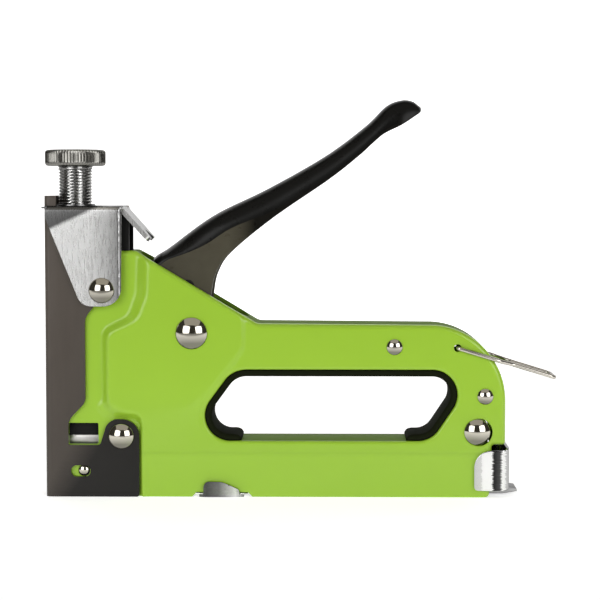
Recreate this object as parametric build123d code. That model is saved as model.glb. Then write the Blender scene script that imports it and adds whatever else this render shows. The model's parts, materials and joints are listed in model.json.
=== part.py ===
from build123d import *
from math import cos, radians, sin, sqrt
import os

# Staple gun, in millimetres. X runs from the nose to the rear, Z is up, and the two body shells
# meet on the plane Y = 0. The origin is on the base at the nose, where the staple comes out.

# ---- driving sizes -------------------------------------------------------------------------
BODY_LENGTH = 151.0          # nose front to the rear edge of the body
SHELL_TOP = 81.0             # top of the green shells at the nose
BRACKET_TOP = 95.7           # top face of the spring bracket
GRIP_TOP = 56.9              # top of the grip bar
HALF_NOSE = 8.1              # half widths of the shells' stepped levels
HALF_CENTRE = 10.4
HALF_BODY = 9.7
HALF_BAND = 9.4
BAND_TOP = 13.2              # height of the crease above the magazine band
SLOPE_FRONT = 29.8           # where the top slopes down to the grip, and where it ends
SLOPE_REAR = 69.7
REAR_CORNER = (BODY_LENGTH - 14.7, 42.4)   # X and Z at which the grip's rear curve starts and ends
REAR_RADII = (24.0, 25.0)
REAR_STEP = 4.3              # the body steps forward above the end cap
REAR_STEP_Z = 17.4
BODY_CORNER_R = 1.5
STRAP_NOTCH = (48.9, 66.8)   # X of the notch for the magazine strap
WINDOW = (7.5, 17.3, 17.3, 24.3)           # sight window: X, X, Z, Z

SHELL_SHEET = 1.1
COVER_SHEET = 1.2
BRACKET_SHEET = 1.5
FRAME_SHEET = 1.0
CHANNEL_SHEET = 0.9
CAP_SHEET = 1.1
HANDLE_SHEET = 1.2
BLADE_SHEET = 0.9
TRIM_WALL = 1.7

SEAT = 0.1                   # gap between sheets that lie on each other
RUN = 0.05                   # radial clearance of a turning or sliding fit
FREE = 0.3                   # gap between pieces that pass each other

# handle and its lift of the plunger
PIVOT_X, PIVOT_Z = 48.2, 54.1
SQUEEZE_DEG = 35.0
ARM_LENGTH = 27.2
ARM_REST_DEG = 30.0
ARM_TIP_R = 1.8
PLUNGER_LIFT = ARM_LENGTH * (sin(radians(ARM_REST_DEG)) + sin(radians(SQUEEZE_DEG - ARM_REST_DEG)))
HANDLE_HALF_ROOT = 8.0
HANDLE_HALF_TIP = 5.9
TIP_X, TIP_Z = 123.4, 126.7

# tension screw and main spring
SCREW_X = 9.2
THREAD_R = 5.7
THREAD_PITCH = 1.0
THREAD_DEPTH = 0.6
NECK_R = 5.4
NECK_LENGTH = 1.4
COLLAR_R = 6.3
COLLAR_HEIGHT = 0.5
KNURL_COUNT = 48
KNURL_R = 0.5
KNOB_EDGE = 0.8
KNOB_R = 10.0
KNOB_TOP = BRACKET_TOP + 18.4
KNOB_HEIGHT = 5.9
SCREW_END = BRACKET_TOP - 11.7
SEAT_WASHER = 2.0
SEAT_WASHER_R = 5.2
SEAT_NIPPLE_R = 2.0
SPRING_TURNS = 10
SPRING_WIRE = 1.6
SPRING_R = 4.2               # mean coil radius
PLUNGER_TOP = 44.0
SPRING_SUNK = 3.0            # depth of the spring's groove in the plunger
PLUNGER_FOOT = 17.8          # underside of the plunger
FOOT_REAR, FOOT_HEIGHT, FOOT_HALF = 17.2, 2.7, 5.5
STEM_REAR, STEM_HALF, STEM_START = 14.4, 5.2, 8.0
LUG_REAR, LUG_HALF, LUG_HEIGHT = 25.4, 4.2, 4.0
TAB_HALF, TAB_LOW, TAB_HIGH = 2.6, 35.0, 41.0   # tab of the plunger that drives the blade
BLADE_TOP = 46.0
BLADE_FOOT = 0.6

# magazine
CHANNEL_HALF = 6.8
CHANNEL_TOP = 14.0
CHANNEL_FRONT = 2.6
CHANNEL_END = BODY_LENGTH - 8
PIN_PLACE = (12.5, 8.6)      # pins that fix the channel's front
PIN_R = 1.2
PIN_HEAD_R, PIN_HEAD = 1.75, 0.9
STRAP = (50.5, 65.2)
EAR = [(52.1, 0), (52.1, 5.2), (58.0, 5.2), (63.7, 3.0), (63.7, 0)]
EAR_RADII = [0, 1.6, 2.5, 1.0, 0]
WING_FRONT = BODY_LENGTH - 10.2
WING_LOW, WING_TOP = 2.5, 15.7
CAP_LOW, CAP_TOP = 3.6, 16.6
TONGUE_FRONT = BODY_LENGTH - 4.8
TONGUE_REAR = BODY_LENGTH + 4.4
TONGUE_HALF = 5.5
ROD_FRONT, ROD_HEAD_R, ROD_HEAD = 3.0, 2.4, 0.8
ROD_R = 1.5
ROD_Z = 5.4
PUSHER_FRONT = 4.0
PUSHER_LENGTH = 12.0
PUSHER_TOP = 12.6
PUSHER_SHEET = 1.0
PUSHER_SPRING_WIRE = 0.5
PUSHER_SPRING_TURNS = 34

# lock wire
LOCK_X, LOCK_Z = BODY_LENGTH - 15.8, 49.3
WIRE_R = 0.6
LOCK_REACH = 33.6
LOCK_DROP_DEG = 17.1
LOCK_HALF = 7.0
LOCK_SPLAY = (14.6, 18.4)     # where the legs bend inwards, along the wire
LOCK_BENDS = [0.9, 3.0, 3.0, 1.6, 1.6, 3.0, 3.0, 0.9]
LOCK_TAIL = 2.2              # length of the ends inside the shells

# hand opening, a parallelogram with rounded corners
OPEN_TOP = 42.05
OPEN_BOTTOM = 18.6
OPEN_CORNERS = [(61.6, OPEN_TOP), (BODY_LENGTH - 8.6, OPEN_TOP), (BODY_LENGTH - 24.3, OPEN_BOTTOM),
                (44.4, OPEN_BOTTOM)]
OPEN_RADII = [9.0, 8.2, 8.4, 8.3]
TRIM_GAP = (64.2, BODY_LENGTH - 32.6)   # the trim is open along the bottom between these two ends

# rivets: places in X and Z, shank radii, and each head's radius and dome height
RIVET_SHANK = 2.0
PIVOT_SHANK = 2.5
PIVOT_SLEEVE_R = 4.0
BRACKET_RIVET = (18.9, 68.1)
NOSE_RIVET = (24.9, 20.0)
REAR_RIVET = (BODY_LENGTH - 9.3, 21.7)
REAR_HOLE_R = 4.6
SMALL_RIVETS = [(BODY_LENGTH - 36.4, 49.6), (BODY_LENGTH - 6.7, 33.4)]
PIVOT_HEAD = (5.15, 2.6)
BRACKET_HEAD = (4.05, 2.2)
NOSE_HEAD = (4.1, 2.2)
REAR_HEAD = (4.2, 2.2)
SMALL_HEAD = (2.6, 1.4)
SMALL_SHANK = 1.5
SLEEVE_R = 3.0

# nose cover and bracket, side outlines
COVER_SIDE = [(17.5, 64), (13.2, 58.5), (13.2, 31.5), (7.5, 25), (7.5, 17.1), (18.0, 17.1), (20.6, 25.6),
              (30.8, 25.6), (30.8, 0)]
COVER_RADII = [3, 4, 4, 4, 0.3, 1.2, 4.2, 5.2, 0.7]
COVER_REAR = 17.5            # X at which the cover ends under the bracket
COVER_TAB, COVER_TAB_RISE = 4.0, 3.3
COVER_SLOT = (11.55, 8.5)    # slot over the magazine pin
COVER_SLOT_LENGTH, COVER_SLOT_WIDTH = 6.5, 3.8
CHEEK_FRONT, CHEEK_LIP = 0.6, 3.1
CHEEK_SIDE = [(12.4, 62.6), (25.3, 62.6)]
CHEEK_REAR = 25.7
CHEEK_RADII = [1.2, 1.0, 4.8, 5.9, 0.8]
TAB_NOTCH_REAR = COVER_TAB + SEAT
TONGUE = [(24.0, 0), (26.2, -0.2), (34.4, -9.3), (33.2, -10.2)]   # bracket tongue, Z from the top
TONGUE_WIDE = 7.5
TONGUE_NOTCH = (35.2, -10.7, 5.2)

# handle and lift arm
HANDLE_TOP = [(35.2, 78.1), (55.1, 92.4), (73.2, 101.4), (91.9, 112.0), (105.0, 121.7), (111.9, 128.3)]
HANDLE_LOW = [(118.1, 122.4), (108.1, 116.2), (93.2, 104.2), (68.2, 86.8), (57.6, 76.5), (54.6, 66.5)]
HANDLE_FRONT = (33.5, 75.2)
CROWN = (116.6, 130.4)
CHEEK_R = 8.6
TAPER_START = 33.0           # distance from the pivot at which the handle starts to narrow
LEVER_PIN = (47.0, 69.5)
ARM_HALF = 2.5
ARM_BOSS_R = 7.0
RETURN_WIRE = 1.2
RETURN_TURNS = 2
WASTE = 20.0                 # how far cutting tools reach past the sheet they cut

# ---- derived sizes -------------------------------------------------------------------------
NOSE_X = COVER_SHEET + SEAT              # where the shells and the blade start
COVER_IN = HALF_NOSE + SEAT
COVER_OUT = COVER_IN + COVER_SHEET
BRACKET_IN = COVER_OUT + SEAT
BRACKET_OUT = BRACKET_IN + BRACKET_SHEET
BRACKET_UNDER = BRACKET_TOP - BRACKET_SHEET
FRAME_OUT = HALF_NOSE - SHELL_SHEET - 2 * SEAT
FRAME_IN = FRAME_OUT - FRAME_SHEET
FRAME_X = NOSE_X + BLADE_SHEET + 2 * SEAT
FRAME_REAR = 27.6
FRAME_BASE = CHANNEL_TOP + SEAT
CHANNEL_IN = CHANNEL_HALF - CHANNEL_SHEET
CAP_IN = HALF_BODY + SEAT
CAP_OUT = CAP_IN + CAP_SHEET
CAP_WALL_X = BODY_LENGTH + SEAT
CUT_X = BODY_LENGTH - REAR_STEP
NECK_Z = KNOB_TOP - KNOB_HEIGHT
CLEAR_TOP = KNOB_TOP + WASTE
SLOT_HALF = HANDLE_HALF_ROOT + FREE + SEAT
LUG_UNDER = PIVOT_Z - ARM_LENGTH * sin(radians(ARM_REST_DEG)) + ARM_TIP_R + SEAT
WASHER_UNDER = SCREW_END - SEAT_WASHER


# ---- helpers -------------------------------------------------------------------------------
def plate(outline, low_y, high_y):
    """Solid from an outline in X and Z, between two Y positions."""
    solid = extrude(Plane.XZ * outline, high_y - low_y)
    return Pos(0, high_y, 0) * solid


def rounded(points, radii):
    """Closed outline with a fillet of its own on each corner."""
    return make_face(FilletPolyline(*points, radius=radii, close=True))


def box(x0, x1, y0, y1, z0, z1):
    """Box between two corners."""
    return Pos((x0 + x1) / 2, (y0 + y1) / 2, (z0 + z1) / 2) * Box(x1 - x0, y1 - y0, z1 - z0)


def both(x0, x1, y0, y1, z0, z1):
    """A box and its mirror image across Y = 0."""
    return box(x0, x1, y0, y1, z0, z1) + box(x0, x1, -y1, -y0, z0, z1)


def pin(x, z, radius, y0, y1):
    """Cylinder along Y."""
    return Pos(x, (y0 + y1) / 2, z) * Rot(90, 0, 0) * Cylinder(radius, y1 - y0)


def dome(x, z, radius, height, y):
    """Spherical rivet head standing on the plane at y, outwards."""
    ball = (radius * radius + height * height) / (2 * height)
    side = 1 if y > 0 else -1
    cap = Pos(x, y + side * (height - ball), z) * Sphere(ball)
    keep = box(x - 2 * radius, x + 2 * radius, min(y, y + side * 2 * ball),
               max(y, y + side * 2 * ball), z - 2 * radius, z + 2 * radius)
    return cap & keep


def rivet(place, shank, head, height, y):
    """Rivet through the body with a domed head at each end."""
    x, z = place
    return pin(x, z, shank, -y, y) + dome(x, z, head, height, -y) + dome(x, z, head, height, y)


def save(shape, name):
    """Write one piece to its own file."""
    export_step(shape, "parts/" + name + ".step")


def mirrored(shape):
    """The same piece on the other side of the body."""
    return mirror(shape, about=Plane.XZ)


# ---- outlines ------------------------------------------------------------------------------
def body_outline():
    """Side outline of a shell, without the hand opening."""
    rear_x, rear_z = REAR_CORNER
    points = [(NOSE_X, 0), (NOSE_X, SHELL_TOP), (SLOPE_FRONT, SHELL_TOP), (SLOPE_REAR, GRIP_TOP),
              (rear_x, GRIP_TOP), (BODY_LENGTH, rear_z), (BODY_LENGTH, REAR_STEP_Z), (CUT_X, REAR_STEP_Z),
              (CUT_X - 1, 0)]
    return rounded(points, [0, 0, BODY_CORNER_R, 4, *REAR_RADII, 0.8, 0.8, BODY_CORNER_R])


def hand_opening(grow=0.0):
    """Outline of the hand opening, grown or shrunk evenly."""
    return offset(rounded(OPEN_CORNERS, OPEN_RADII), grow)


def nose_region(shift=0.0):
    """Low level of the shells, under the nose cover and the bracket."""
    edge = [(31.0, 90), (29.5, 67), (27.0, 60), (19.4, 55.5), (18.6, 31), (24, 27.6), (31.6, 27), (31.6, -5)]
    moved = [(x + shift, z) for x, z in edge]
    points = [(-5, -5), (-5, 90), *moved]
    return rounded(points, [0, 0, 0, 8, 4, 4, 4, 3, 3, 0])


def centre_region(shift=0.0):
    """Raised level of the shells round the handle pivot."""
    points = [(15, 90), (15 + shift, BAND_TOP + 4 + shift), (46 - shift, BAND_TOP + 4 + shift),
              (46 - shift, 30), (64 - shift, 44), (64 - shift, 90)]
    return rounded(points, [0, 0, 6, 8, 8, 0])


def side_slab(outline, shift):
    """Half of the body's volume at its stepped half widths, less the shift on every side."""
    nose = nose_region(shift)
    low = Pos(BODY_LENGTH / 2, BAND_TOP - WASTE) * Rectangle(2 * BODY_LENGTH, 2 * WASTE)
    above = outline - nose - low
    raised = above & centre_region(shift)
    band = (outline & low) - nose
    slab = plate(above, 0, HALF_BODY - shift) + plate(band, 0, HALF_BAND - shift)
    slab += plate(raised, 0, HALF_CENTRE - shift)
    slab += plate(outline & nose, 0, HALF_NOSE - shift)
    return slab


# ---- body shells ---------------------------------------------------------------------------
def shell():
    """Right body shell: a pressed sheet side with a flange round it that meets the other side."""
    outline = body_outline()
    solid = side_slab(outline - hand_opening(), 0)
    hollow = side_slab(offset(outline, -SHELL_SHEET) - hand_opening(SHELL_SHEET), SHELL_SHEET)
    solid -= hollow
    # open edges: the nose front and top, the base where the magazine lies, and behind the magazine
    solid -= box(-1, NOSE_X + SHELL_SHEET + SEAT, -1, HALF_NOSE - SHELL_SHEET, -1, SHELL_TOP + 1)
    solid -= box(-1, FRAME_REAR + FREE, -1, HALF_NOSE - SHELL_SHEET, SHELL_TOP - 2, SHELL_TOP + 1)
    solid -= box(-1, BODY_LENGTH, -1, CHANNEL_HALF + SEAT, -1, SHELL_SHEET + SEAT)
    solid -= box(CUT_X - 3, CUT_X + 1, -1, CHANNEL_HALF + SEAT, -1, CHANNEL_TOP + SEAT)
    # slot in the sloping top flange, which the handle swings through
    slot = make_face(Polyline((33.5, 90), (33.5, 75), (62, 58), (66.5, 58), (66.5, 90), close=True))
    solid -= plate(slot, -1, SLOT_HALF)
    # notch for the magazine strap, sight window and holes
    solid -= box(*STRAP_NOTCH, -1, HALF_BODY + 1, -1, SHELL_SHEET + SEAT)
    solid -= box(WINDOW[0], WINDOW[1], -1, HALF_NOSE + 1, WINDOW[2], WINDOW[3])
    for (x, z), radius in [((PIVOT_X, PIVOT_Z), PIVOT_SHANK), (BRACKET_RIVET, RIVET_SHANK),
                           (NOSE_RIVET, RIVET_SHANK), (SMALL_RIVETS[0], SMALL_SHANK),
                           (SMALL_RIVETS[1], SMALL_SHANK), ((LOCK_X, LOCK_Z), WIRE_R)]:
        solid -= pin(x, z, radius + RUN, 0, 2 * HALF_CENTRE)
    solid -= pin(*REAR_RIVET, REAR_HOLE_R, 2, 2 * HALF_CENTRE)
    solid -= pin(*PIN_PLACE, PIN_R + RUN, 0, 2 * HALF_CENTRE)
    return solid


# ---- nose ----------------------------------------------------------------------------------
def nose_cover():
    """Folded sheet over the nose with an ear round the front rivet and a tab through the bracket."""
    top = BRACKET_UNDER - SEAT
    side = rounded([(0, 0), (0, top), (COVER_REAR, top), *COVER_SIDE], [0, 0, 0, *COVER_RADII])
    tab = Pos(COVER_TAB / 2, BRACKET_TOP) * Rectangle(COVER_TAB, 2 * COVER_TAB_RISE)
    solid = plate(side + tab, -COVER_OUT, COVER_OUT)
    solid -= box(COVER_SHEET, 2 * WASTE, -COVER_IN, COVER_IN, -1, CLEAR_TOP)
    # slot over the magazine pin, hole of the front rivet and hole of the bracket rivet
    solid -= plate(Pos(*COVER_SLOT) * SlotOverall(COVER_SLOT_LENGTH, COVER_SLOT_WIDTH), -WASTE, WASTE)
    solid -= pin(*NOSE_RIVET, RIVET_SHANK + RUN, -WASTE, WASTE)
    solid -= pin(*BRACKET_RIVET, RIVET_SHANK + RUN, -WASTE, WASTE)
    return solid


def top_bracket():
    """Spring bracket: two cheeks, a top plate with a collar, and a forked tongue behind."""
    rivet_x, rivet_z = BRACKET_RIVET
    cheek = rounded([(CHEEK_FRONT, BRACKET_TOP), (CHEEK_FRONT, BRACKET_TOP - CHEEK_LIP), *CHEEK_SIDE,
                     (CHEEK_REAR, BRACKET_TOP)], CHEEK_RADII)
    solid = plate(cheek, -BRACKET_OUT, BRACKET_OUT)
    solid -= box(-1, 2 * WASTE, -BRACKET_IN, BRACKET_IN, 2 * WASTE, BRACKET_UNDER)
    solid -= box(-1, TAB_NOTCH_REAR, -BRACKET_IN, BRACKET_IN, 2 * WASTE, CLEAR_TOP)
    solid += Pos(SCREW_X, 0, BRACKET_TOP + COLLAR_HEIGHT / 2 - SEAT / 2) * Cylinder(COLLAR_R, COLLAR_HEIGHT + SEAT)
    solid += both(-CHEEK_FRONT, 2 * CHEEK_FRONT, BRACKET_IN, BRACKET_OUT, BRACKET_TOP - 1.0, BRACKET_TOP - 0.4)
    # tongue: a strip bent down behind the top plate, with a notch in its end
    start = TONGUE[0][0]
    strip = make_face(Polyline(*[(x, BRACKET_TOP + z) for x, z in TONGUE], (start + 1.4, BRACKET_UNDER),
                               (start, BRACKET_UNDER), close=True))
    tongue = plate(strip, -TONGUE_WIDE, TONGUE_WIDE)
    notch_x, notch_z, notch_side = TONGUE_NOTCH
    notch = Pos(notch_x, 0, BRACKET_TOP + notch_z) * Rot(0, 0, 45) * Box(notch_side, notch_side, WASTE)
    solid += tongue - notch
    solid -= Pos(SCREW_X, 0, BRACKET_TOP) * Cylinder(THREAD_R + RUN, 6)
    solid -= pin(rivet_x, rivet_z, RIVET_SHANK + RUN, -WASTE, WASTE)
    return solid


def inner_frame():
    """Black inner channel that guides the plunger and carries the bracket."""
    top = BRACKET_UNDER - SEAT
    solid = box(FRAME_X, FRAME_REAR, -FRAME_OUT, FRAME_OUT, FRAME_BASE, top)
    solid -= box(FRAME_X + FRAME_SHEET, 2 * WASTE, -FRAME_IN, FRAME_IN, 0, CLEAR_TOP)
    # slot for the plunger's tab and windows beside the plunger's foot
    solid -= box(0, FRAME_X + 2, -TAB_HALF - 2 * FREE, TAB_HALF + 2 * FREE, TAB_LOW - 5, TAB_HIGH + 23)
    solid -= box(WINDOW[0] - 1, WINDOW[1] + 1, -WASTE, WASTE, WINDOW[2] - 0.7, WINDOW[3] + 1)
    # the rear top corners stop short of the bracket's tongue
    corner = make_face(Polyline((24.4, BRACKET_TOP), (25.2, top - 0.1), (29.0, top - 4.35), (29.0, BRACKET_TOP),
                                close=True))
    solid -= plate(corner, -WASTE, WASTE)
    solid -= pin(*BRACKET_RIVET, RIVET_SHANK + RUN, -WASTE, WASTE)
    solid -= pin(*NOSE_RIVET, RIVET_SHANK + RUN, -WASTE, WASTE)
    return solid


# ---- plunger, blade and spring -------------------------------------------------------------
def plunger():
    """Block that carries the blade: wide foot, narrow body, front tab and rear lug."""
    x0 = FRAME_X + FRAME_SHEET + FREE
    solid = box(x0, FOOT_REAR, -FOOT_HALF, FOOT_HALF, PLUNGER_FOOT, PLUNGER_FOOT + FOOT_HEIGHT)
    solid += box(x0, STEM_REAR, -STEM_HALF, STEM_HALF, PLUNGER_FOOT + STEM_START, PLUNGER_TOP)
    solid += box(x0, STEM_REAR, -LUG_HALF, LUG_HALF, PLUNGER_FOOT, PLUNGER_FOOT + STEM_START + 1)
    solid += box(STEM_REAR - 0.4, LUG_REAR, -LUG_HALF, LUG_HALF, LUG_UNDER, LUG_UNDER + LUG_HEIGHT)
    solid += box(NOSE_X + SEAT, x0 + 1, -TAB_HALF, TAB_HALF, TAB_LOW, TAB_HIGH)
    # round groove that seats the spring
    solid -= Pos(SCREW_X, 0, PLUNGER_TOP - SPRING_SUNK + 5) * (Cylinder(SPRING_R + SPRING_WIRE / 2 + 0.15, 10)
                                                              - Cylinder(SPRING_R - SPRING_WIRE / 2 - 0.3, 10))
    return solid


def driver_blade():
    """Flat blade in front of the inner frame, hooked over the plunger's tab."""
    x0 = NOSE_X + SEAT / 2
    half = CHANNEL_IN - 2 * SEAT
    solid = box(x0, x0 + BLADE_SHEET, -half, half, BLADE_FOOT, BLADE_TOP)
    solid -= box(0, FRAME_X + 2, -TAB_HALF, TAB_HALF, TAB_LOW, TAB_HIGH)
    return solid


def bumper():
    """Rubber stop under the plunger."""
    solid = box(FRAME_X + FRAME_SHEET + FREE, 16.5, -5.4, 5.4, FRAME_BASE, PLUNGER_FOOT - FREE)
    return fillet(solid.edges().filter_by(Axis.Z), 1)


def coil(radius, wire, length, turns):
    """Helical spring along Z from the origin."""
    path = Helix(pitch=length / turns, height=length, radius=radius)
    section = Plane(origin=path @ 0, z_dir=path % 0) * Circle(wire / 2)
    return sweep(section, path=path)


def main_spring():
    """Compression spring between the plunger and the seat under the screw."""
    low = PLUNGER_TOP - SPRING_SUNK + SPRING_WIRE / 2 + 0.1
    length = WASHER_UNDER - SPRING_WIRE / 2 - 0.1 - low
    return Pos(SCREW_X, 0, low) * coil(SPRING_R, SPRING_WIRE, length, SPRING_TURNS)


def spring_seat():
    """Turned seat between the screw's end and the spring."""
    solid = Pos(SCREW_X, 0, SCREW_END - SEAT_WASHER / 2) * Cylinder(SEAT_WASHER_R, SEAT_WASHER)
    solid += Pos(SCREW_X, 0, WASHER_UNDER - 1.5) * Cylinder(SPRING_R - SPRING_WIRE / 2 - 0.3, 3)
    solid += Pos(SCREW_X, 0, SCREW_END + 1) * Cylinder(SEAT_NIPPLE_R, 2.2)
    return solid


def tension_screw():
    """Knurled screw that presses the spring: grooved shank, neck and knob."""
    crest = THREAD_R
    root = THREAD_R - THREAD_DEPTH
    thread_top = NECK_Z - NECK_LENGTH
    turns = int((thread_top - SCREW_END - 1) / THREAD_PITCH)
    points = [(0, SCREW_END), (root, SCREW_END)]
    for turn in range(turns):
        z = thread_top - (turns - turn) * THREAD_PITCH
        points += [(root, z + 0.1), (crest, z + 0.45), (crest, z + 0.6), (root, z + 0.95)]
    points += [(root, thread_top), (NECK_R, thread_top), (NECK_R, NECK_Z), (KNOB_R - KNOB_EDGE, NECK_Z)]
    points += [(KNOB_R, NECK_Z + KNOB_EDGE), (KNOB_R, KNOB_TOP - KNOB_EDGE), (KNOB_R - KNOB_EDGE, KNOB_TOP)]
    points += [(0, KNOB_TOP)]
    solid = revolve(Plane.XZ * make_face(Polyline(*points, close=True)), Axis.Z)
    solid -= Pos(0, 0, SCREW_END) * Cylinder(SEAT_NIPPLE_R + RUN, 5)
    flute = Pos(KNOB_R + 0.15, 0, NECK_Z + KNOB_HEIGHT / 2) * Cylinder(KNURL_R, KNOB_HEIGHT + 2)
    for step in range(KNURL_COUNT):
        solid -= Rot(0, 0, step * 360 / KNURL_COUNT) * flute
    return Pos(SCREW_X, 0, 0) * solid


# ---- handle --------------------------------------------------------------------------------

def handle_outline():
    """Side outline of the handle: curved bar, rounded tip and the cheek round the pivot."""
    top = Spline(*HANDLE_TOP)
    crown = ThreePointArc(top @ 1, CROWN, (TIP_X - 1.9, TIP_Z + 2.5))
    nose = ThreePointArc(crown @ 1, (TIP_X - 0.8, TIP_Z - 2.1), HANDLE_LOW[0])
    low = Spline(*HANDLE_LOW)
    root = Polyline(low @ 1, (PIVOT_X + CHEEK_R, PIVOT_Z), (PIVOT_X - CHEEK_R, PIVOT_Z), HANDLE_FRONT, top @ 0)
    bar = make_face(Curve() + [top, crown, nose, low, root])
    return bar + Pos(PIVOT_X, PIVOT_Z) * Circle(CHEEK_R)


def along_handle():
    """Plane with its x axis along the handle and its z axis square to it, in the side view."""
    return Plane(origin=(PIVOT_X, 0, PIVOT_Z), x_dir=(1, 0, 1), z_dir=(-1, 0, 1))


def handle():
    """Folded sheet handle, open below, that narrows to a solid tip."""
    outline = handle_outline()
    reach = sqrt(2) * (TIP_X - PIVOT_X)
    taper = (HANDLE_HALF_ROOT - HANDLE_HALF_TIP) / (reach - TAPER_START)

    def plan(inset, end):
        """Top view of the handle, narrower by the inset."""
        root, tip = HANDLE_HALF_ROOT - inset, HANDLE_HALF_ROOT - inset - taper * (end - TAPER_START)
        half = [(-30, root), (TAPER_START, root), (end, tip)]
        face = make_face(Polyline(*half, *[(x, -y) for x, y in reversed(half)], close=True))
        return extrude(along_handle() * face, 60, both=True)

    solid = plate(outline, -HANDLE_HALF_ROOT, HANDLE_HALF_ROOT) & plan(0, reach + 12)
    drop = HANDLE_SHEET / sqrt(2)
    hollow = plate(Pos(drop, -drop) * outline, -WASTE, WASTE)
    hollow += plate(Pos(5 * drop, -5 * drop) * outline, -WASTE, WASTE)
    hollow += plate(Pos(PIVOT_X - 5, PIVOT_Z - 8) * Rectangle(40, 40), -WASTE, WASTE)
    solid -= hollow & plan(HANDLE_SHEET, reach - 7)
    solid -= pin(PIVOT_X, PIVOT_Z, PIVOT_SLEEVE_R + RUN, -WASTE, WASTE)
    solid -= pin(*LEVER_PIN, RIVET_SHANK, -WASTE, WASTE)
    return solid



def lift_arm():
    """Lever fixed inside the handle: its nose lifts the plunger."""
    angle = radians(ARM_REST_DEG)
    tip = (PIVOT_X - ARM_LENGTH * cos(angle), PIVOT_Z - ARM_LENGTH * sin(angle))
    boss = Pos(PIVOT_X, PIVOT_Z) * Circle(ARM_BOSS_R)
    nose = Pos(*tip) * Circle(ARM_TIP_R)
    bar = make_face(Polyline((tip[0] + 1.5, tip[1] + 0.9), (38, 53.5), (44.5, 60), (48, 47.2), (40, 43.2),
                             (tip[0] + 2, tip[1] - ARM_TIP_R), (tip[0], tip[1] - ARM_TIP_R), close=True))
    neck = make_face(Polyline((42.5, 56), (43.5, 72.5), (50.5, 72.5), (54, 56), close=True))
    solid = plate(boss + nose + bar + neck, -ARM_HALF, ARM_HALF)
    solid -= pin(PIVOT_X, PIVOT_Z, PIVOT_SLEEVE_R + RUN, -WASTE, WASTE)
    solid -= pin(*LEVER_PIN, RIVET_SHANK, -WASTE, WASTE)
    return solid


def lever_pin():
    """Pin that fixes the arm between the handle's cheeks."""
    return pin(*LEVER_PIN, RIVET_SHANK, -HANDLE_HALF_ROOT, HANDLE_HALF_ROOT)


def pivot_sleeve():
    """Sleeve round the pivot rivet that holds the shells apart; the handle turns on it."""
    half = HALF_CENTRE - SHELL_SHEET - SEAT / 2
    tube = pin(PIVOT_X, PIVOT_Z, PIVOT_SLEEVE_R, -half, half)
    return tube - pin(PIVOT_X, PIVOT_Z, PIVOT_SHANK + RUN, -WASTE, WASTE)


def return_spring():
    """Torsion spring on the pivot sleeve that lifts the handle."""
    length = RETURN_TURNS * (RETURN_WIRE + 0.15)
    winding = coil(PIVOT_SLEEVE_R + RUN + RETURN_WIRE, RETURN_WIRE, length, RETURN_TURNS)
    return Pos(PIVOT_X, ARM_HALF + FREE + RETURN_WIRE / 2 + length, PIVOT_Z) * Rot(90, 0, 0) * winding


# ---- magazine ------------------------------------------------------------------------------
def magazine_channel():
    """Channel that holds the staples, with a strap and two ears at mid length."""
    solid = box(CHANNEL_FRONT, CHANNEL_END, -CHANNEL_HALF, CHANNEL_HALF, 0, CHANNEL_TOP)
    solid -= box(0, BODY_LENGTH, -CHANNEL_IN, CHANNEL_IN, CHANNEL_SHEET, 2 * CHANNEL_TOP)
    ear_in = HALF_BODY + SEAT
    solid += both(*STRAP, CHANNEL_HALF - 0.2, ear_in, 0, CHANNEL_SHEET)
    ear = rounded(EAR, EAR_RADII)
    solid += plate(ear, ear_in, ear_in + CHANNEL_SHEET) + plate(ear, -ear_in - CHANNEL_SHEET, -ear_in)
    solid -= pin(*PIN_PLACE, PIN_R - 0.2, -WASTE, WASTE)
    return solid


def magazine_pins():
    """Two domed pins that fix the channel's front to the shells."""
    shape = pin(*PIN_PLACE, PIN_R, CHANNEL_HALF + RUN, HALF_NOSE + RUN)
    shape += pin(*PIN_PLACE, PIN_R - 0.25, CHANNEL_IN + 0.1, HALF_NOSE)
    shape += dome(*PIN_PLACE, PIN_HEAD_R, PIN_HEAD, HALF_NOSE + RUN)
    return Compound(children=[shape.solid(), mirrored(shape).solid()])


def end_cap():
    """Sheet cap at the magazine's rear with wings over the body and a pull tongue."""
    end = CAP_WALL_X + CAP_SHEET / 2
    wing = rounded([(WING_FRONT, WING_LOW), (WING_FRONT, WING_TOP), (end, WING_TOP), (end, WING_LOW)],
                   [1.0, 5.6, 0, 1.2])
    solid = plate(wing, CAP_IN, CAP_OUT) + plate(wing, -CAP_OUT, -CAP_IN)
    solid += box(CAP_WALL_X, CAP_WALL_X + CAP_SHEET, -CAP_OUT, CAP_OUT, CAP_LOW, CAP_TOP)
    foot = make_face(Polyline((TONGUE_FRONT, 0.6), (TONGUE_FRONT, 1.7), (CAP_WALL_X, 2.6), (CAP_WALL_X, 5),
                              (CAP_WALL_X + CAP_SHEET, 5), (TONGUE_REAR, 2.4), (TONGUE_REAR, 1.5),
                              (CAP_WALL_X, 0.6), close=True))
    solid += plate(foot, -TONGUE_HALF, TONGUE_HALF)
    return solid


def guide_rod():
    """Rod that the pusher runs on, with a stop head in front."""
    end = CAP_WALL_X - SEAT
    rod = Pos((ROD_FRONT + end) / 2, 0, ROD_Z) * Rot(0, 90, 0) * Cylinder(ROD_R, end - ROD_FRONT)
    head = Pos(ROD_FRONT + ROD_HEAD / 2, 0, ROD_Z) * Rot(0, 90, 0) * Cylinder(ROD_HEAD_R, ROD_HEAD)
    return rod + head


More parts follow.
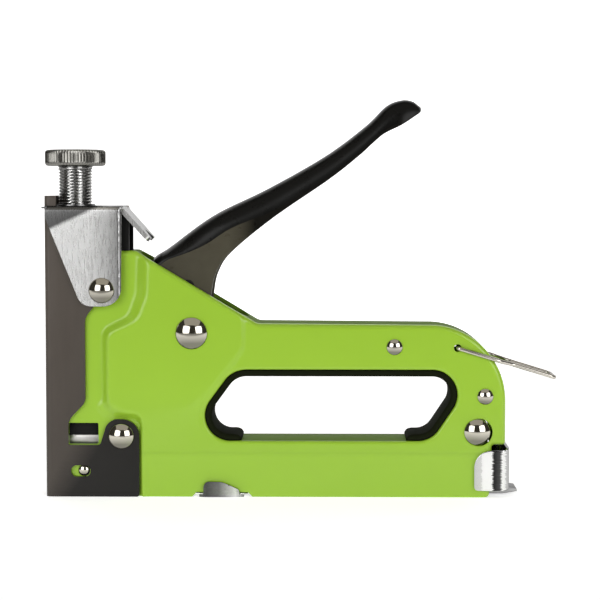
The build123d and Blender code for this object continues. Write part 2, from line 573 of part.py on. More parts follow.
def pusher():
    """Folded saddle that pushes the staples forward along the rod."""
    x0, x1 = PUSHER_FRONT, PUSHER_FRONT + PUSHER_LENGTH
    half = CHANNEL_IN - FREE
    wall = PUSHER_SHEET
    solid = box(x0, x1, -half, half, CHANNEL_SHEET + FREE, PUSHER_TOP)
    solid -= box(x0 + wall, x1 - wall, -half + wall, half - wall, 0, PUSHER_TOP - wall)
    solid -= Pos((x0 + x1) / 2, 0, ROD_Z) * Rot(0, 90, 0) * Cylinder(ROD_R + RUN, 2 * PUSHER_LENGTH)
    return solid


def pusher_spring():
    """Long light spring on the rod behind the pusher."""
    start = PUSHER_FRONT + PUSHER_LENGTH + 0.4
    length = CAP_WALL_X - 0.5 - start
    winding = coil(ROD_R + RUN + 0.6, PUSHER_SPRING_WIRE, length, PUSHER_SPRING_TURNS)
    return Pos(start, 0, ROD_Z) * Rot(0, 90, 0) * winding


# ---- trim, rivets and lock wire ------------------------------------------------------------
def grip_trim():
    """Plastic edging of the hand opening, open along the bottom."""
    ring = hand_opening(-SEAT) - hand_opening(-TRIM_WALL)
    gap = Pos((TRIM_GAP[0] + TRIM_GAP[1]) / 2, OPEN_BOTTOM) * Rectangle(TRIM_GAP[1] - TRIM_GAP[0], 8)
    return plate(ring - gap, -HALF_BODY + SEAT, HALF_BODY - SEAT)


def spacer_sleeves():
    """Short tubes between the shells on the rivets of the grip and the rear."""
    half = HALF_BODY - SHELL_SHEET - SEAT / 2
    tubes = []
    for (x, z), shank in [(SMALL_RIVETS[0], SMALL_SHANK), (SMALL_RIVETS[1], SMALL_SHANK)]:
        tube = pin(x, z, SLEEVE_R, -half, half) - pin(x, z, shank + RUN, -WASTE, WASTE)
        tubes.append(tube.solid())
    x, z = REAR_RIVET
    tube = pin(x, z, REAR_HOLE_R - FREE, -half, half) - pin(x, z, RIVET_SHANK + RUN, -WASTE, WASTE)
    tubes.append(tube.solid())
    return Compound(children=tubes)


def grip_rivets():
    """Two small rivets through the grip and the rear."""
    return Compound(children=[rivet(place, SMALL_SHANK, *SMALL_HEAD, HALF_BODY + RUN).solid()
                              for place in SMALL_RIVETS])


def lock_wire():
    """Wire bail, hinged in the shells, that hooks over the pressed handle."""
    side = HALF_BODY + SEAT + WIRE_R
    leg = [(0, HALF_BODY - LOCK_TAIL, 0), (0, side, 0), (LOCK_SPLAY[0], side, 0), (LOCK_SPLAY[1], LOCK_HALF, 0),
           (LOCK_REACH, LOCK_HALF, 0)]
    path = FilletPolyline(*leg, *[(x, -y, z) for x, y, z in reversed(leg)], radius=LOCK_BENDS)
    wire = sweep(Plane(origin=path @ 0, z_dir=path % 0) * Circle(WIRE_R), path=path)
    return Pos(LOCK_X, 0, LOCK_Z) * Rot(0, LOCK_DROP_DEG, 0) * wire


def main():
    os.makedirs("parts", exist_ok=True)
    right = shell()
    save(right, "right_shell")
    save(mirrored(right), "left_shell")
    save(nose_cover(), "nose_cover")
    save(top_bracket(), "top_bracket")
    save(inner_frame(), "inner_frame")
    save(plunger(), "plunger")
    save(driver_blade(), "driver_blade")
    save(bumper(), "bumper")
    save(main_spring(), "main_spring")
    save(spring_seat(), "spring_seat")
    save(tension_screw(), "tension_screw")
    save(handle(), "handle")
    save(lift_arm(), "lift_arm")
    save(lever_pin(), "lever_pin")
    save(pivot_sleeve(), "pivot_sleeve")
    save(return_spring(), "return_spring")
    save(magazine_channel(), "magazine_channel")
    save(magazine_pins(), "magazine_pins")
    save(end_cap(), "end_cap")
    save(guide_rod(), "guide_rod")
    save(pusher(), "pusher")
    save(pusher_spring(), "pusher_spring")
    save(grip_trim(), "grip_trim")
    save(spacer_sleeves(), "spacer_sleeves")
    save(rivet((PIVOT_X, PIVOT_Z), PIVOT_SHANK, *PIVOT_HEAD, HALF_CENTRE + RUN), "pivot_rivet")
    save(rivet(BRACKET_RIVET, RIVET_SHANK, *BRACKET_HEAD, BRACKET_OUT + RUN), "bracket_rivet")
    save(rivet(NOSE_RIVET, RIVET_SHANK, *NOSE_HEAD, COVER_OUT + RUN), "nose_rivet")
    save(rivet(REAR_RIVET, RIVET_SHANK, *REAR_HEAD, HALF_BODY - SHELL_SHEET), "rear_rivet")
    save(grip_rivets(), "grip_rivets")
    save(lock_wire(), "lock_wire")


main()
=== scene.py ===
import json
from math import atan2, cos, pi, radians, sin, sqrt, tau

import bpy
import numpy as np
from mathutils import Matrix, Vector
from mathutils.geometry import delaunay_2d_cdt


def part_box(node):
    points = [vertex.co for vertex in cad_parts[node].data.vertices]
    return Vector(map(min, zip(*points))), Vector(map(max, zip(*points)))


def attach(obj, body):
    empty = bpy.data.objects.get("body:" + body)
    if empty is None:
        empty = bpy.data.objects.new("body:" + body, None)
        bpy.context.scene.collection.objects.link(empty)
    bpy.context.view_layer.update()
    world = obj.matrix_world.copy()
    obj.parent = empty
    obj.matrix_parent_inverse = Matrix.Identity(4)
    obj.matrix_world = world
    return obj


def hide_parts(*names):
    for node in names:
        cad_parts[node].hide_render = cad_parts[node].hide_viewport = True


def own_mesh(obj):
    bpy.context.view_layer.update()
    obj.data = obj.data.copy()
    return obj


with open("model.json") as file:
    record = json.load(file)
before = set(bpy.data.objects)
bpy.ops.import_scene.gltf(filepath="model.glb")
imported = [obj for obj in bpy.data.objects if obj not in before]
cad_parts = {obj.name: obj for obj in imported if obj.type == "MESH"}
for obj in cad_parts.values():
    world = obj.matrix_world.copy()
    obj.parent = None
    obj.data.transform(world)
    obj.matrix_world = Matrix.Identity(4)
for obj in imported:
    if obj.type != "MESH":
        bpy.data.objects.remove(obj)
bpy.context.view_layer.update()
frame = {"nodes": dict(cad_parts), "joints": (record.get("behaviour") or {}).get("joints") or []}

# Staple gun, in the CAD frame: X from the nose to the rear, Z up, the shells meet on Y = 0 and the
# camera looks at the side that faces -Y. Sizes below are in millimetres; meshes are made in metres.
MM = 0.001


def span(node):
    """Lowest and highest corner of a CAD node, in millimetres."""
    low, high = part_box(node)
    return np.array(low) / MM, np.array(high) / MM


# ---- places taken from the frame ----
SHELL_LOW, SHELL_HIGH = span("right_shell")
NOSE_X, SHELL_TOP, REAR_X = SHELL_LOW[0], SHELL_HIGH[2], SHELL_HIGH[0]
HALF_CENTRE = SHELL_HIGH[1]
COVER_HIGH = span("nose_cover")[1]
COVER_OUT = COVER_HIGH[1]
BRACKET_HIGH = span("top_bracket")[1]
BRACKET_OUT = BRACKET_HIGH[1]
SCREW_LOW, SCREW_HIGH = span("tension_screw")
SCREW_X = (SCREW_LOW[0] + SCREW_HIGH[0]) / 2
CAP_HIGH = span("end_cap")[1]
TRIM_LOW, TRIM_HIGH = span("grip_trim")
HANDLE_OUT = span("handle")[1][1]
JOINTS = {joint["name"]: joint for joint in frame["joints"]}
PIVOT = np.array(JOINTS["handle_squeeze"]["pos_m"]) / MM
LOCK = np.array(JOINTS["lock_swing"]["pos_m"]) / MM

# ---- sizes of the sheet work ----
HALF_NOSE = COVER_OUT - 1.3          # half widths of the shells' levels
HALF_BODY = 9.7
HALF_BAND = 9.4
SHELL_SHEET, COVER_SHEET, BRACKET_SHEET, CAP_SHEET, CHANNEL_SHEET = 1.1, 1.2, 1.5, 1.1, 0.9
HANDLE_SHEET = 1.2
SLOT_HALF = 8.4                      # half width of the handle's slot
CHANNEL_HALF = 6.9                   # where the flanges stop beside the magazine
GRIP_TOP = 56.9
SLOPE_X, SLOPE_END = 29.8, 69.7      # where the slope from the shell's top to the grip starts and ends
THREAD_PITCH = 1.0
MIDDLE = (0.085, 0, 0.06)            # what the lights aim at, in metres


# ---- outlines in the plane ----
def corner_arc(before, corner, after, radius):
    """The arc that rounds a corner, in the plane or in space: its centre, its first and last point seen
    from there, and how far it turns."""
    back, ahead = before - corner, after - corner
    back, ahead = back / np.linalg.norm(back), ahead / np.linalg.norm(ahead)
    half = np.arccos(np.clip(back @ ahead, -1, 1)) / 2
    centre = corner + (back + ahead) / np.linalg.norm(back + ahead) * radius / sin(half)
    start = corner + back * radius / np.tan(half) - centre
    end = corner + ahead * radius / np.tan(half) - centre
    return centre, start, end, pi - 2 * half


def rounded(points, radii, step=0.35):
    """Closed outline with a fillet on each corner, as an array of points."""
    points = [np.array(p, float) for p in points]
    out = []
    for i, radius in enumerate(radii):
        if radius <= 0:
            out.append(points[i])
            continue
        after = points[(i + 1) % len(points)]
        centre, start, end, _ = corner_arc(points[i - 1], points[i], after, radius)
        turn = atan2(start[0] * end[1] - start[1] * end[0], start @ end)
        steps = max(3, int(abs(turn) * radius / step) + 1)
        for k in range(steps + 1):
            a = turn * k / steps
            out.append(centre + np.array([start[0] * cos(a) - start[1] * sin(a),
                                          start[0] * sin(a) + start[1] * cos(a)]))
    return np.array(out)


def rounded_path(points, radii, step):
    """Open path in space with rounded corners."""
    points = [np.array(p, float) for p in points]
    out = [points[0]]
    for i, radius in enumerate(radii):
        centre, start, end, turn = corner_arc(*points[i:i + 3], radius)
        steps = max(5, int(turn * radius / step) + 1)
        for k in range(steps + 1):
            t = k / steps
            out.append(centre + (start * sin((1 - t) * turn) + end * sin(t * turn)) / sin(turn))
    return out + [points[-1]]


def circle(x, z, radius, count):
    """Round outline."""
    a = np.arange(count) * tau / count
    return np.stack([x + radius * np.cos(a), z + radius * np.sin(a)], axis=1)


def resampled(loop, step):
    """The loop with its long edges divided."""
    out = []
    for a, b in zip(loop, np.roll(loop, -1, axis=0)):
        parts = max(1, int(np.linalg.norm(b - a) / step + 0.5))
        out += [a + (b - a) * k / parts for k in range(parts)]
    return np.array(out)


def area(loop):
    """Signed area, positive when the loop runs anticlockwise."""
    ahead = np.roll(loop, -1, axis=0)
    return 0.5 * np.sum(loop[:, 0] * ahead[:, 1] - ahead[:, 0] * loop[:, 1])


def inside(points, loop):
    """Which points lie inside the loop."""
    hit = np.zeros(len(points), bool)
    for a, b in zip(loop, np.roll(loop, -1, axis=0)):
        crosses = (a[1] > points[:, 1]) != (b[1] > points[:, 1])
        if crosses.any():
            at = a[0] + (points[:, 1] - a[1]) * (b[0] - a[0]) / (b[1] - a[1] + 1e-12)
            hit ^= crosses & (points[:, 0] < at)
    return hit


def distance(points, loop):
    """Distance from each point to the loop's nearest edge."""
    best = np.full(len(points), 1e9)
    for a, b in zip(loop, np.roll(loop, -1, axis=0)):
        edge = b - a
        t = np.clip(((points - a) @ edge) / max(edge @ edge, 1e-12), 0, 1)
        gap = points - a - t[:, None] * edge
        best = np.minimum(best, np.einsum("ij,ij->i", gap, gap))
    return np.sqrt(best)


def smooth(t):
    """Smooth step from 0 to 1."""
    t = np.clip(t, 0, 1)
    return t * t * (3 - 2 * t)


def ramp(points, low, high):
    """0 on the low loop's side, 1 inside the high loop, smooth in between."""
    d_low, d_high = distance(points, low), distance(points, high)
    t = d_low / np.maximum(d_low + d_high, 1e-9)
    t[~inside(points, low)] = 0
    t[inside(points, high)] = 1
    return smooth(t)


def panel(loops, spacing, rings=(), columns=None, rows=None):
    """Triangulated flat sheet: outer loop first, then holes. Rings are rows of points that follow
    the edges; columns and rows replace the even grid inside. Returns points, triangles and loops."""
    loops = [loop if (area(loop) > 0) == (i == 0) else loop[::-1] for i, loop in enumerate(loops)]
    points, edges, ids = [], [], []
    for loop in loops:
        first = len(points)
        ids.append(list(range(first, first + len(loop))))
        edges += [(first + k, first + (k + 1) % len(loop)) for k in range(len(loop))]
        points += list(loop)

    def on_sheet(candidates):
        """Which points lie in the outline and in no hole."""
        keep = inside(candidates, loops[0])
        for hole in loops[1:]:
            keep &= ~inside(candidates, hole)
        return keep

    def clear(candidates, gap):
        """The points on the sheet that are at least a gap from its edges."""
        candidates = candidates[on_sheet(candidates)]
        for loop in loops:
            candidates = candidates[distance(candidates, loop) >= gap]
        return candidates

    last = 0.0
    for depth in rings:
        for loop in loops:
            along = np.roll(loop, -1, axis=0) - np.roll(loop, 1, axis=0)
            normal = np.stack([-along[:, 1], along[:, 0]], axis=1)
            normal /= np.maximum(np.linalg.norm(normal, axis=1), 1e-9)[:, None]
            points += list(clear(loop + normal * depth, depth * 0.985))
        last = depth
    low, high = loops[0].min(0), loops[0].max(0)
    xs = np.arange(low[0], high[0], spacing) if columns is None else np.array(columns)
    zs = np.arange(low[1], high[1], spacing) if rows is None else np.array(rows)
    grid = np.array([(x + (0.5 * spacing if (j % 2 and columns is None) else 0), z)
                     for j, z in enumerate(zs) for x in xs])
    points += list(clear(grid, last + 0.45 * spacing if rings else 0.3))
    made = delaunay_2d_cdt([Vector(p) for p in points], edges, [], 0, 1e-6)
    flat = np.array([(v.x, v.y) for v in made[0]])
    where = {}
    for new, olds in enumerate(made[3]):
        for old in olds:
            where[old] = new
    faces = np.array(made[2])
    faces = faces[on_sheet(flat[faces].mean(1))]
    a, b, c = (flat[faces[:, k]] for k in range(3))
    turn = (b - a)[:, 0] * (c - a)[:, 1] - (b - a)[:, 1] * (c - a)[:, 0]
    faces[turn < 0] = faces[turn < 0][:, ::-1]
    return flat, faces.tolist(), [[where[k] for k in loop] for loop in ids]


# ---- meshes ----
def linked(name, data):
    """New object with its data, in the scene."""
    obj = bpy.data.objects.new(name, data)
    bpy.context.scene.collection.objects.link(obj)
    return obj


def shaded(mesh, angle):
    """Smooth shading, with sharp edges where faces meet at more than the angle."""
    mesh.polygons.foreach_set("use_smooth", [True] * len(mesh.polygons))
    mesh.set_sharp_from_angle(angle=radians(angle))


def piece(name, points, faces, body, slot, material, stands_for=(), sheet=0.0, bevel=0.0, angle=32,
          second=None):
    """A mesh object from millimetres, thickened and bevelled, riding on a CAD body and never below the
    floor. With two materials, the faces from the index second onwards take the second one."""
    mesh = bpy.data.meshes.new(name)
    mesh.from_pydata((np.array(points) * MM).tolist(), [], [list(f) for f in faces])
    for finish in material if isinstance(material, tuple) else (material,):
        mesh.materials.append(finish)
    if second is not None:
        mesh.polygons.foreach_set("material_index", [int(k >= second) for k in range(len(mesh.polygons))])
    mesh.validate()
    obj = linked(name, mesh)
    if sheet:
        solid = obj.modifiers.new("sheet", "SOLIDIFY")
        solid.thickness, solid.offset = sheet * MM, -1
    if bevel:
        edge = obj.modifiers.new("edge", "BEVEL")
        edge.width, edge.segments, edge.limit_method = bevel * MM, 2, "ANGLE"
        edge.angle_limit = radians(50)
    if sheet or bevel:
        bpy.context.view_layer.update()
        mesh = bpy.data.meshes.new_from_object(obj.evaluated_get(bpy.context.evaluated_depsgraph_get()))
        obj.modifiers.clear()
        obj.data = mesh
    for vertex in mesh.vertices:
        vertex.co.z = max(vertex.co.z, 0.0)
    shaded(mesh, angle)
    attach(obj, body)
    if stands_for:
        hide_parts(*stands_for)
    return obj


def grid_faces(rows, cols, closed=False):
    """Quads of a grid of points, row by row; closed joins each row's ends."""
    faces = []
    for i in range(rows - 1):
        for j in range(cols if closed else cols - 1):
            a, b = i * cols + j, i * cols + (j + 1) % cols
            faces.append((a, b, b + cols, a + cols))
    return faces


def lathe(profile, count, wobble=None):
    """Points and faces of a turned shape about Z from (radius, height) pairs, bottom to top; the wobble
    is added to the radius."""
    points = []
    for r, z in profile:
        for k in range(count):
            a = k * tau / count
            radius = r + (wobble(r, z, a) if wobble else 0)
            points.append((radius * cos(a), radius * sin(a), z))
    return points, grid_faces(len(profile), count, closed=True)


def moved(points, matrix):
    """The points after a 4 by 4 matrix."""
    return [tuple(matrix @ Vector(p)) for p in points]


def joined(*shapes):
    """Several (points, faces) as one."""
    points, faces = [], []
    for more, quads in shapes:
        first = len(points)
        points += [tuple(p) for p in more]
        faces += [tuple(first + k for k in f) for f in quads]
    return points, faces


def end_faces(count, total):
    """Two flat faces that close the first and last ring of count points."""
    return [tuple(reversed(range(count))), tuple(range(total - count, total))]


def tube(path, radius, sides):
    """Round wire along a path, with closed rounded ends."""
    path = np.array(path, float)
    along = np.gradient(path, axis=0)
    along /= np.linalg.norm(along, axis=1)[:, None]
    side = np.cross(along[0], (0.3, 0.5, 0.8))
    points = []
    ends = [(0, 0.15), (0, 0.75)] + [(i, 1.0) for i in range(len(path))] + [(-1, 0.75), (-1, 0.15)]
    for k, (i, share) in enumerate(ends):
        side = side - along[i] * (side @ along[i])
        side /= np.linalg.norm(side)
        other = np.cross(along[i], side)
        lean = radius * 0.55 * (1 - share)
        centre = path[i] - along[i] * lean * (1 if k < 2 else -1) if share < 1 else path[i]
        for j in range(sides):
            a = j * tau / sides
            points.append(centre + radius * share * (cos(a) * side + sin(a) * other))
    return points, grid_faces(len(ends), sides, closed=True) + end_faces(sides, len(points))


def extruded(loop, y0, y1):
    """Closed solid from an outline in X and Z between two Y positions."""
    loop = loop if area(loop) > 0 else loop[::-1]
    count = len(loop)
    points = [(x, y0, z) for x, z in loop] + [(x, y1, z) for x, z in loop]
    faces = [tuple(range(count)), tuple(reversed(range(count, 2 * count)))]
    faces += [((k + 1) % count, k, count + k, count + (k + 1) % count) for k in range(count)]
    return points, faces


def block(x0, x1, y0, y1, z0, z1, radius):
    """Block with rounded corners in the side view."""
    corners = [(x0, z0), (x1, z0), (x1, z1), (x0, z1)]
    return extruded(rounded(corners, [radius] * 4, 0.2), y0, y1)


# ---- materials ----
UPWARDS, REARWARDS = (0, 0, 1), (1, 0, 0)


def put(tree, node, inputs):
    """Sets a shader node's inputs, each to a value of its own or to the output that feeds it."""
    for name, value in inputs.items():
        if isinstance(value, bpy.types.NodeSocket):
            tree.links.new(value, node.inputs[name])
        else:
            node.inputs[name].default_value = value


def add(tree, kind, inputs=(), output=0, **settings):
    """New shader node with its settings and inputs; gives back one of its outputs."""
    made = tree.nodes.new("ShaderNode" + kind)
    for name, value in settings.items():
        setattr(made, name, value)
    put(tree, made, dict(inputs))
    return made.outputs[output]


def times(tree, tone, grey):
    """A colour times a grey, both from outputs."""
    return add(tree, "Mix", {"Factor": 1.0, "A": tone, "B": grey}, "Result", data_type="RGBA",
               blend_type="MULTIPLY")


def banded(tree, place, tone, way, ripple, stops):
    """Painted sheen, reflection and shade: the tone times greys that change along a direction; stops are
    millimetres and grey, and the ripple is how far, in millimetres, fine scratches across the bands push
    their edges."""
    reach = add(tree, "VectorMath", {0: place, 1: way}, "Value", operation="DOT_PRODUCT")
    scratch_waves = [0.12 / MM, 0.12 / MM, 3.2 / MM]
    stretch = add(tree, "Mapping", {"Vector": place, "Scale": scratch_waves})
    scratch = add(tree, "TexNoise", {"Vector": stretch, "Scale": 1.0, "Detail": 4})
    push = add(tree, "Math", {0: scratch, 1: ripple * MM, 2: reach}, operation="MULTIPLY_ADD")
    low, high = stops[0][0], stops[-1][0]
    share = add(tree, "MapRange", {"Value": push, "From Min": (low + ripple / 2) * MM,
                                   "From Max": (high + ripple / 2) * MM})
    greys = add(tree, "ValToRGB", {"Fac": share})
    steps = greys.node.color_ramp.elements
    while len(steps) < len(stops):
        steps.new(0.5)
    for step, (at, grey) in zip(steps, stops):
        step.position = (at - low) / (high - low)
        step.color = (grey, grey, grey, 1)
    return times(tree, tone, greys)


def painted_underside_shade(tree, normal, tone, grey):
    """Painted shade: the tone times a grey where the surface faces down."""
    upright = add(tree, "VectorMath", {0: normal, 1: UPWARDS}, "Value", operation="DOT_PRODUCT")
    turn = add(tree, "MapRange", {"Value": upright, "From Min": -0.45, "From Max": 0.1, "To Min": grey})
    return times(tree, tone, turn)


def material(name, colour, rough, metal=0.0, grain=0, tint=0.0, bump=0.0, rough_spread=0.08,
             fine=0.0, fine_scale=2.0, shine=0.5, bands=(), under=1.0):
    """Finish with uneven tone, roughness and relief. Grain is the noise's waves per millimetre, along X,
    Y and Z or alike along all, tint how far it changes the tone, and bump its relief; fine is a second,
    smaller relief, in millimetres too. Bands are for banded(), which paints sheen, reflection and shade,
    and under is the grey of the painted shade where the surface faces down."""
    made = bpy.data.materials.new(name)
    made.use_nodes = True
    tree = made.node_tree
    place = add(tree, "TexCoord", output="Object")
    waves = [g / MM for g in (grain if isinstance(grain, tuple) else [grain] * 3)]
    stretch = add(tree, "Mapping", {"Vector": place, "Scale": waves})
    noise = add(tree, "TexNoise", {"Vector": stretch, "Scale": 1.0, "Detail": 6})
    cloud = add(tree, "TexNoise", {"Vector": place, "Scale": 0.05 / MM, "Detail": 3})
    half_cloud = add(tree, "Math", {0: cloud, 1: 0.5}, operation="MULTIPLY")
    uneven = add(tree, "Math", {0: noise, 1: 0.5, 2: half_cloud}, operation="MULTIPLY_ADD")
    darker = (*[c * (1 - tint) for c in colour], 1)
    lighter = (*[min(1, c * (1 + tint)) for c in colour], 1)
    tone = add(tree, "Mix", {"Factor": uneven, "A": darker, "B": lighter}, "Result", data_type="RGBA")
    for band in bands:
        tone = banded(tree, place, tone, *band)
    if under < 1:
        tone = painted_underside_shade(tree, place.node.outputs["Normal"], tone, under)
    gloss = add(tree, "MapRange", {"Value": noise, "To Min": max(0.02, rough - rough_spread),
                                   "To Max": rough + rough_spread})
    inputs = {"Base Color": tone, "Roughness": gloss, "Metallic": metal, "IOR": 1.5,
              "Specular IOR Level": shine, "Specular Tint": (*[1 - metal * 0.65] * 3, 1)}
    if bump or fine:
        first = add(tree, "Bump", {"Height": noise, "Strength": 1.0, "Distance": bump * MM})
        small = add(tree, "TexNoise", {"Vector": place, "Scale": fine_scale / MM, "Detail": 2})
        inputs["Normal"] = add(tree, "Bump", {"Height": small, "Strength": 1.0, "Distance": fine * MM,
                                              "Normal": first})
    put(tree, tree.nodes["Principled BSDF"], inputs)
    return made


# painted shade: the green is darker towards the bottom, with a thin dark line along the crease above the
# magazine band
GREEN = material(
    "green_enamel", (0.295, 0.502, 0.036), 0.2, grain=0.05, tint=0.03, bump=0.02,
    rough_spread=0.04, fine=0.0012, fine_scale=1.2, shine=0.4,
    bands=[(UPWARDS, 0.0, [(0, 0.89), (13.2, 0.94), (14.7, 0.85), (15.3, 0.92), (34, 1.0), (90, 1.0)])])
# painted shade: the flange faces take a darker, duller copy of the green enamel
FLANGE_SHADE = material(
    "green_flange_painted_shade", (0.12, 0.21, 0.02), 0.6, grain=0.1, tint=0.08, bump=0.01, fine=0.002,
    fine_scale=1.2, shine=0.02)
# painted sheen: the cover is lighter and browner towards the front and the top, and fades dark towards the
# rear and the bottom
NOSE_PAINT = material(
    "nose_paint", (0.058, 0.048, 0.040), 0.32, grain=(0.5, 0.5, 0.06), tint=0.14, bump=0.004,
    fine=0.002, fine_scale=3.0, shine=0.3,
    bands=[((1, 0, -0.6), 2.0, [(-45, 1.3), (-12, 1.05), (-2, 0.9), (8, 0.12), (31, 0.06)])])
BLACK = material(
    "handle_paint", (0.005, 0.005, 0.0045), 0.28, grain=0.2, tint=0.15, fine=0.0015,
    shine=0.14)
# painted sheen: the handle's flat cheeks take a lighter, brown-grey copy of the black paint that fades out
# towards the rear
CHEEK_SHEEN = material(
    "cheek_painted_sheen", (0.066, 0.060, 0.042), 0.3, grain=0.4, tint=0.15, fine=0.0015, shine=0.14,
    bands=[(REARWARDS, 2.0, [(34, 0.7), (46, 0.9), (60, 1.0), (64, 0.75), (69, 0.08)])])
FRAME_BLACK = material(
    "frame_black", (0.007, 0.007, 0.007), 0.5, grain=0.3, tint=0.2, fine=0.002, shine=0.15)
# painted shade and reflection: the bracket's cheeks are darker towards their rear edge, and in a wedge in the
# upper corner
NICKEL = material(
    "brushed_nickel", (0.96, 0.96, 0.96), 0.28, metal=1, grain=(2.5, 2.5, 0.3), tint=0.12, bump=0.008,
    rough_spread=0.1, fine=0.004, fine_scale=2.2,
    bands=[(REARWARDS, 1.0, [(0, 1.0), (15, 1.0), (20.5, 0.75), (22.8, 0.6), (24.4, 0.4), (25.3, 0.25),
                             (25.5, 0.85), (40, 0.8)]),
           ((-0.417, 0, 0.909), 0.4, [(40, 1.0), (78.6, 1.0), (79.8, 0.14), (87, 0.2)])])
CAP_NICKEL = material(
    "cap_nickel", (0.80, 0.80, 0.79), 0.18, metal=1, grain=(0.25, 0.25, 2.2), tint=0.06, bump=0.004)
# painted reflection: upright bands along the wing, grey, white, a dark streaked band, white again and grey
WING_NICKEL = material(
    "wing_nickel", (0.88, 0.88, 0.88), 0.18, metal=1, grain=(0.25, 0.25, 2.2), tint=0.06, bump=0.004,
    bands=[(REARWARDS, 2.2, [(140.8, 0.6), (143.0, 0.7), (143.6, 1.0), (146.4, 1.0), (147.1, 0.02),
                             (149.3, 0.08), (150.0, 1.0), (150.8, 0.9), (151.2, 0.5), (152.4, 0.5)])])
# painted reflection: the ear is dark towards the front and bright in a band near the rear
EAR_NICKEL = material(
    "ear_nickel", (0.6, 0.6, 0.6), 0.2, metal=1, grain=(0.8, 0.8, 1.0), tint=0.6, bump=0.04,
    rough_spread=0.1,
    bands=[(REARWARDS, 1.2, [(50.5, 0.2), (53.0, 0.12), (57.0, 0.25), (60.0, 0.6), (62.5, 1.0),
                             (65.2, 0.3)])])
# painted shade: the rivet heads are darker where they face down
CHROME = material(
    "rivet_chrome", (0.64, 0.61, 0.53), 0.07, metal=1, grain=0.4, tint=0.04, bump=0.007,
    rough_spread=0.03, fine=0.0005, fine_scale=3.0, under=0.35)
# painted shade and light: the knob and the thread are one plated metal in two tones, the knob dark and the
# thread bright; the thread is also darker where its flanks face down, painted shade
KNOB = material(
    "knob_nickel", (0.25, 0.245, 0.226), 0.24, metal=1, grain=(1.2, 1.2, 0.3), tint=0.4, bump=0.012)
THREAD = material(
    "thread_nickel", (0.90, 0.895, 0.88), 0.24, metal=1, grain=0.8, tint=0.12, bump=0.003,
    under=0.15)
STEEL = material(
    "ground_steel", (0.60, 0.59, 0.57), 0.34, metal=1, grain=(1.8, 1.8, 0.3), tint=0.15, bump=0.008)
WIRE = material(
    "wire_steel", (0.56, 0.53, 0.48), 0.2, metal=1, grain=(0.2, 1.5, 1.5), tint=0.12, bump=0.004)
SPRING = material(
    "spring_steel", (0.33, 0.33, 0.33), 0.3, metal=1, grain=0.8, tint=0.15, bump=0.003)
TRIM = material(
    "trim_plastic", (0.009, 0.011, 0.005), 0.85, grain=0.3, tint=0.15, bump=0.003,
    fine=0.004, fine_scale=2.2, shine=0.015)
RUBBER = material(
    "rubber", (0.02, 0.02, 0.02), 0.7, grain=0.5, tint=0.2, fine=0.01)


# ---- body shells ----
CUT_X, CUT_Z = REAR_X - 4.3, 17.4
OPENING_TOP, OPENING_LOW = TRIM_HIGH[2] + 0.1, TRIM_LOW[2] - 0.1


def body_outline():
    """Side outline of a shell."""
    points = [(NOSE_X, 0), (NOSE_X, SHELL_TOP), (SLOPE_X, SHELL_TOP), (SLOPE_END, GRIP_TOP + 0.3),
              (136.3, GRIP_TOP - 0.2), (REAR_X, 42.4), (REAR_X, CUT_Z), (CUT_X, CUT_Z), (CUT_X - 1, 0),
              (68.0, 0), (66.6, 1.5), (49.6, 1.5), (48.2, 0)]
    return rounded(points, [0, 0, 1.5, 4, 24, 25, 0.8, 0.8, 1.5, 0.4, 0.4, 0.4, 0.4])


def hand_opening():
    """Outline of the hand opening."""
    corners = [(61.6, OPENING_TOP), (142.4, OPENING_TOP), (126.7, OPENING_LOW), (44.4, OPENING_LOW)]
    return rounded(corners, [9.0, 8.2, 8.4, 8.3])


def shell_level(points):
    """Half width of the shell's side: the pressed levels and the ramps between them."""
    nose_low = rounded([(30.4, 95), (29.3, 67.3), (26.6, 59.6), (18.5, 55.4), (18.5, 30), (21.5, 25.9),
                        (31.0, 25.7), (31.0, -9), (200, -9), (200, 95)], [0, 7, 4, 4, 4, 3, 3, 0, 0, 0])
    nose_high = rounded([(35.2, 95), (34.3, 66.5), (31.2, 58.2), (21.0, 53.8), (21.0, 32.5), (25.0, 28.6),
                         (32.0, 27.8), (31.9, -5), (190, -5), (190, 90)], [0, 9, 5, 3, 3, 4, 3, 0, 0, 0])
    behind_nose = ramp(points, nose_low, nose_high)
    level = HALF_NOSE + (HALF_BODY - HALF_NOSE) * behind_nose
    # the raised centre falls to the grip between two upright lines, and fades out low down
    centre_low = rounded([(-20, 110), (-20, 8), (50.5, 8), (51, 27), (62.5, 43.5), (66.2, 49), (66.2, 110)],
                         [0, 0, 8, 8, 8, 6, 0])
    centre_high = rounded([(-15, 110), (-15, 30), (47, 30), (60.8, 44.5), (64.2, 49.5), (64.2, 110)],
                          [0, 0, 5, 8, 6, 0])
    raised = ramp(points, centre_low, centre_high) * behind_nose
    level += (HALF_CENTRE - HALF_BODY) * raised
    # crease above the magazine band
    band = smooth((14.9 - points[:, 1]) / 1.1) * smooth((points[:, 0] - 31.9) / 2.5)
    level -= (HALF_BODY - HALF_BAND) * band
    # bead along the opening's slanted front edge
    beside = distance(points, hand_opening()) - 2.3
    bead = np.exp(-(beside / 0.5) ** 2) * smooth((60 - points[:, 0]) / 5) * smooth((points[:, 1] - 21) / 5)
    level += 0.14 * bead
    # small round boss beside the sight window
    boss = smooth((3.0 - np.hypot(points[:, 0] - 19.8, points[:, 1] - 29.4)) / 1.2)
    return level + 0.3 * boss


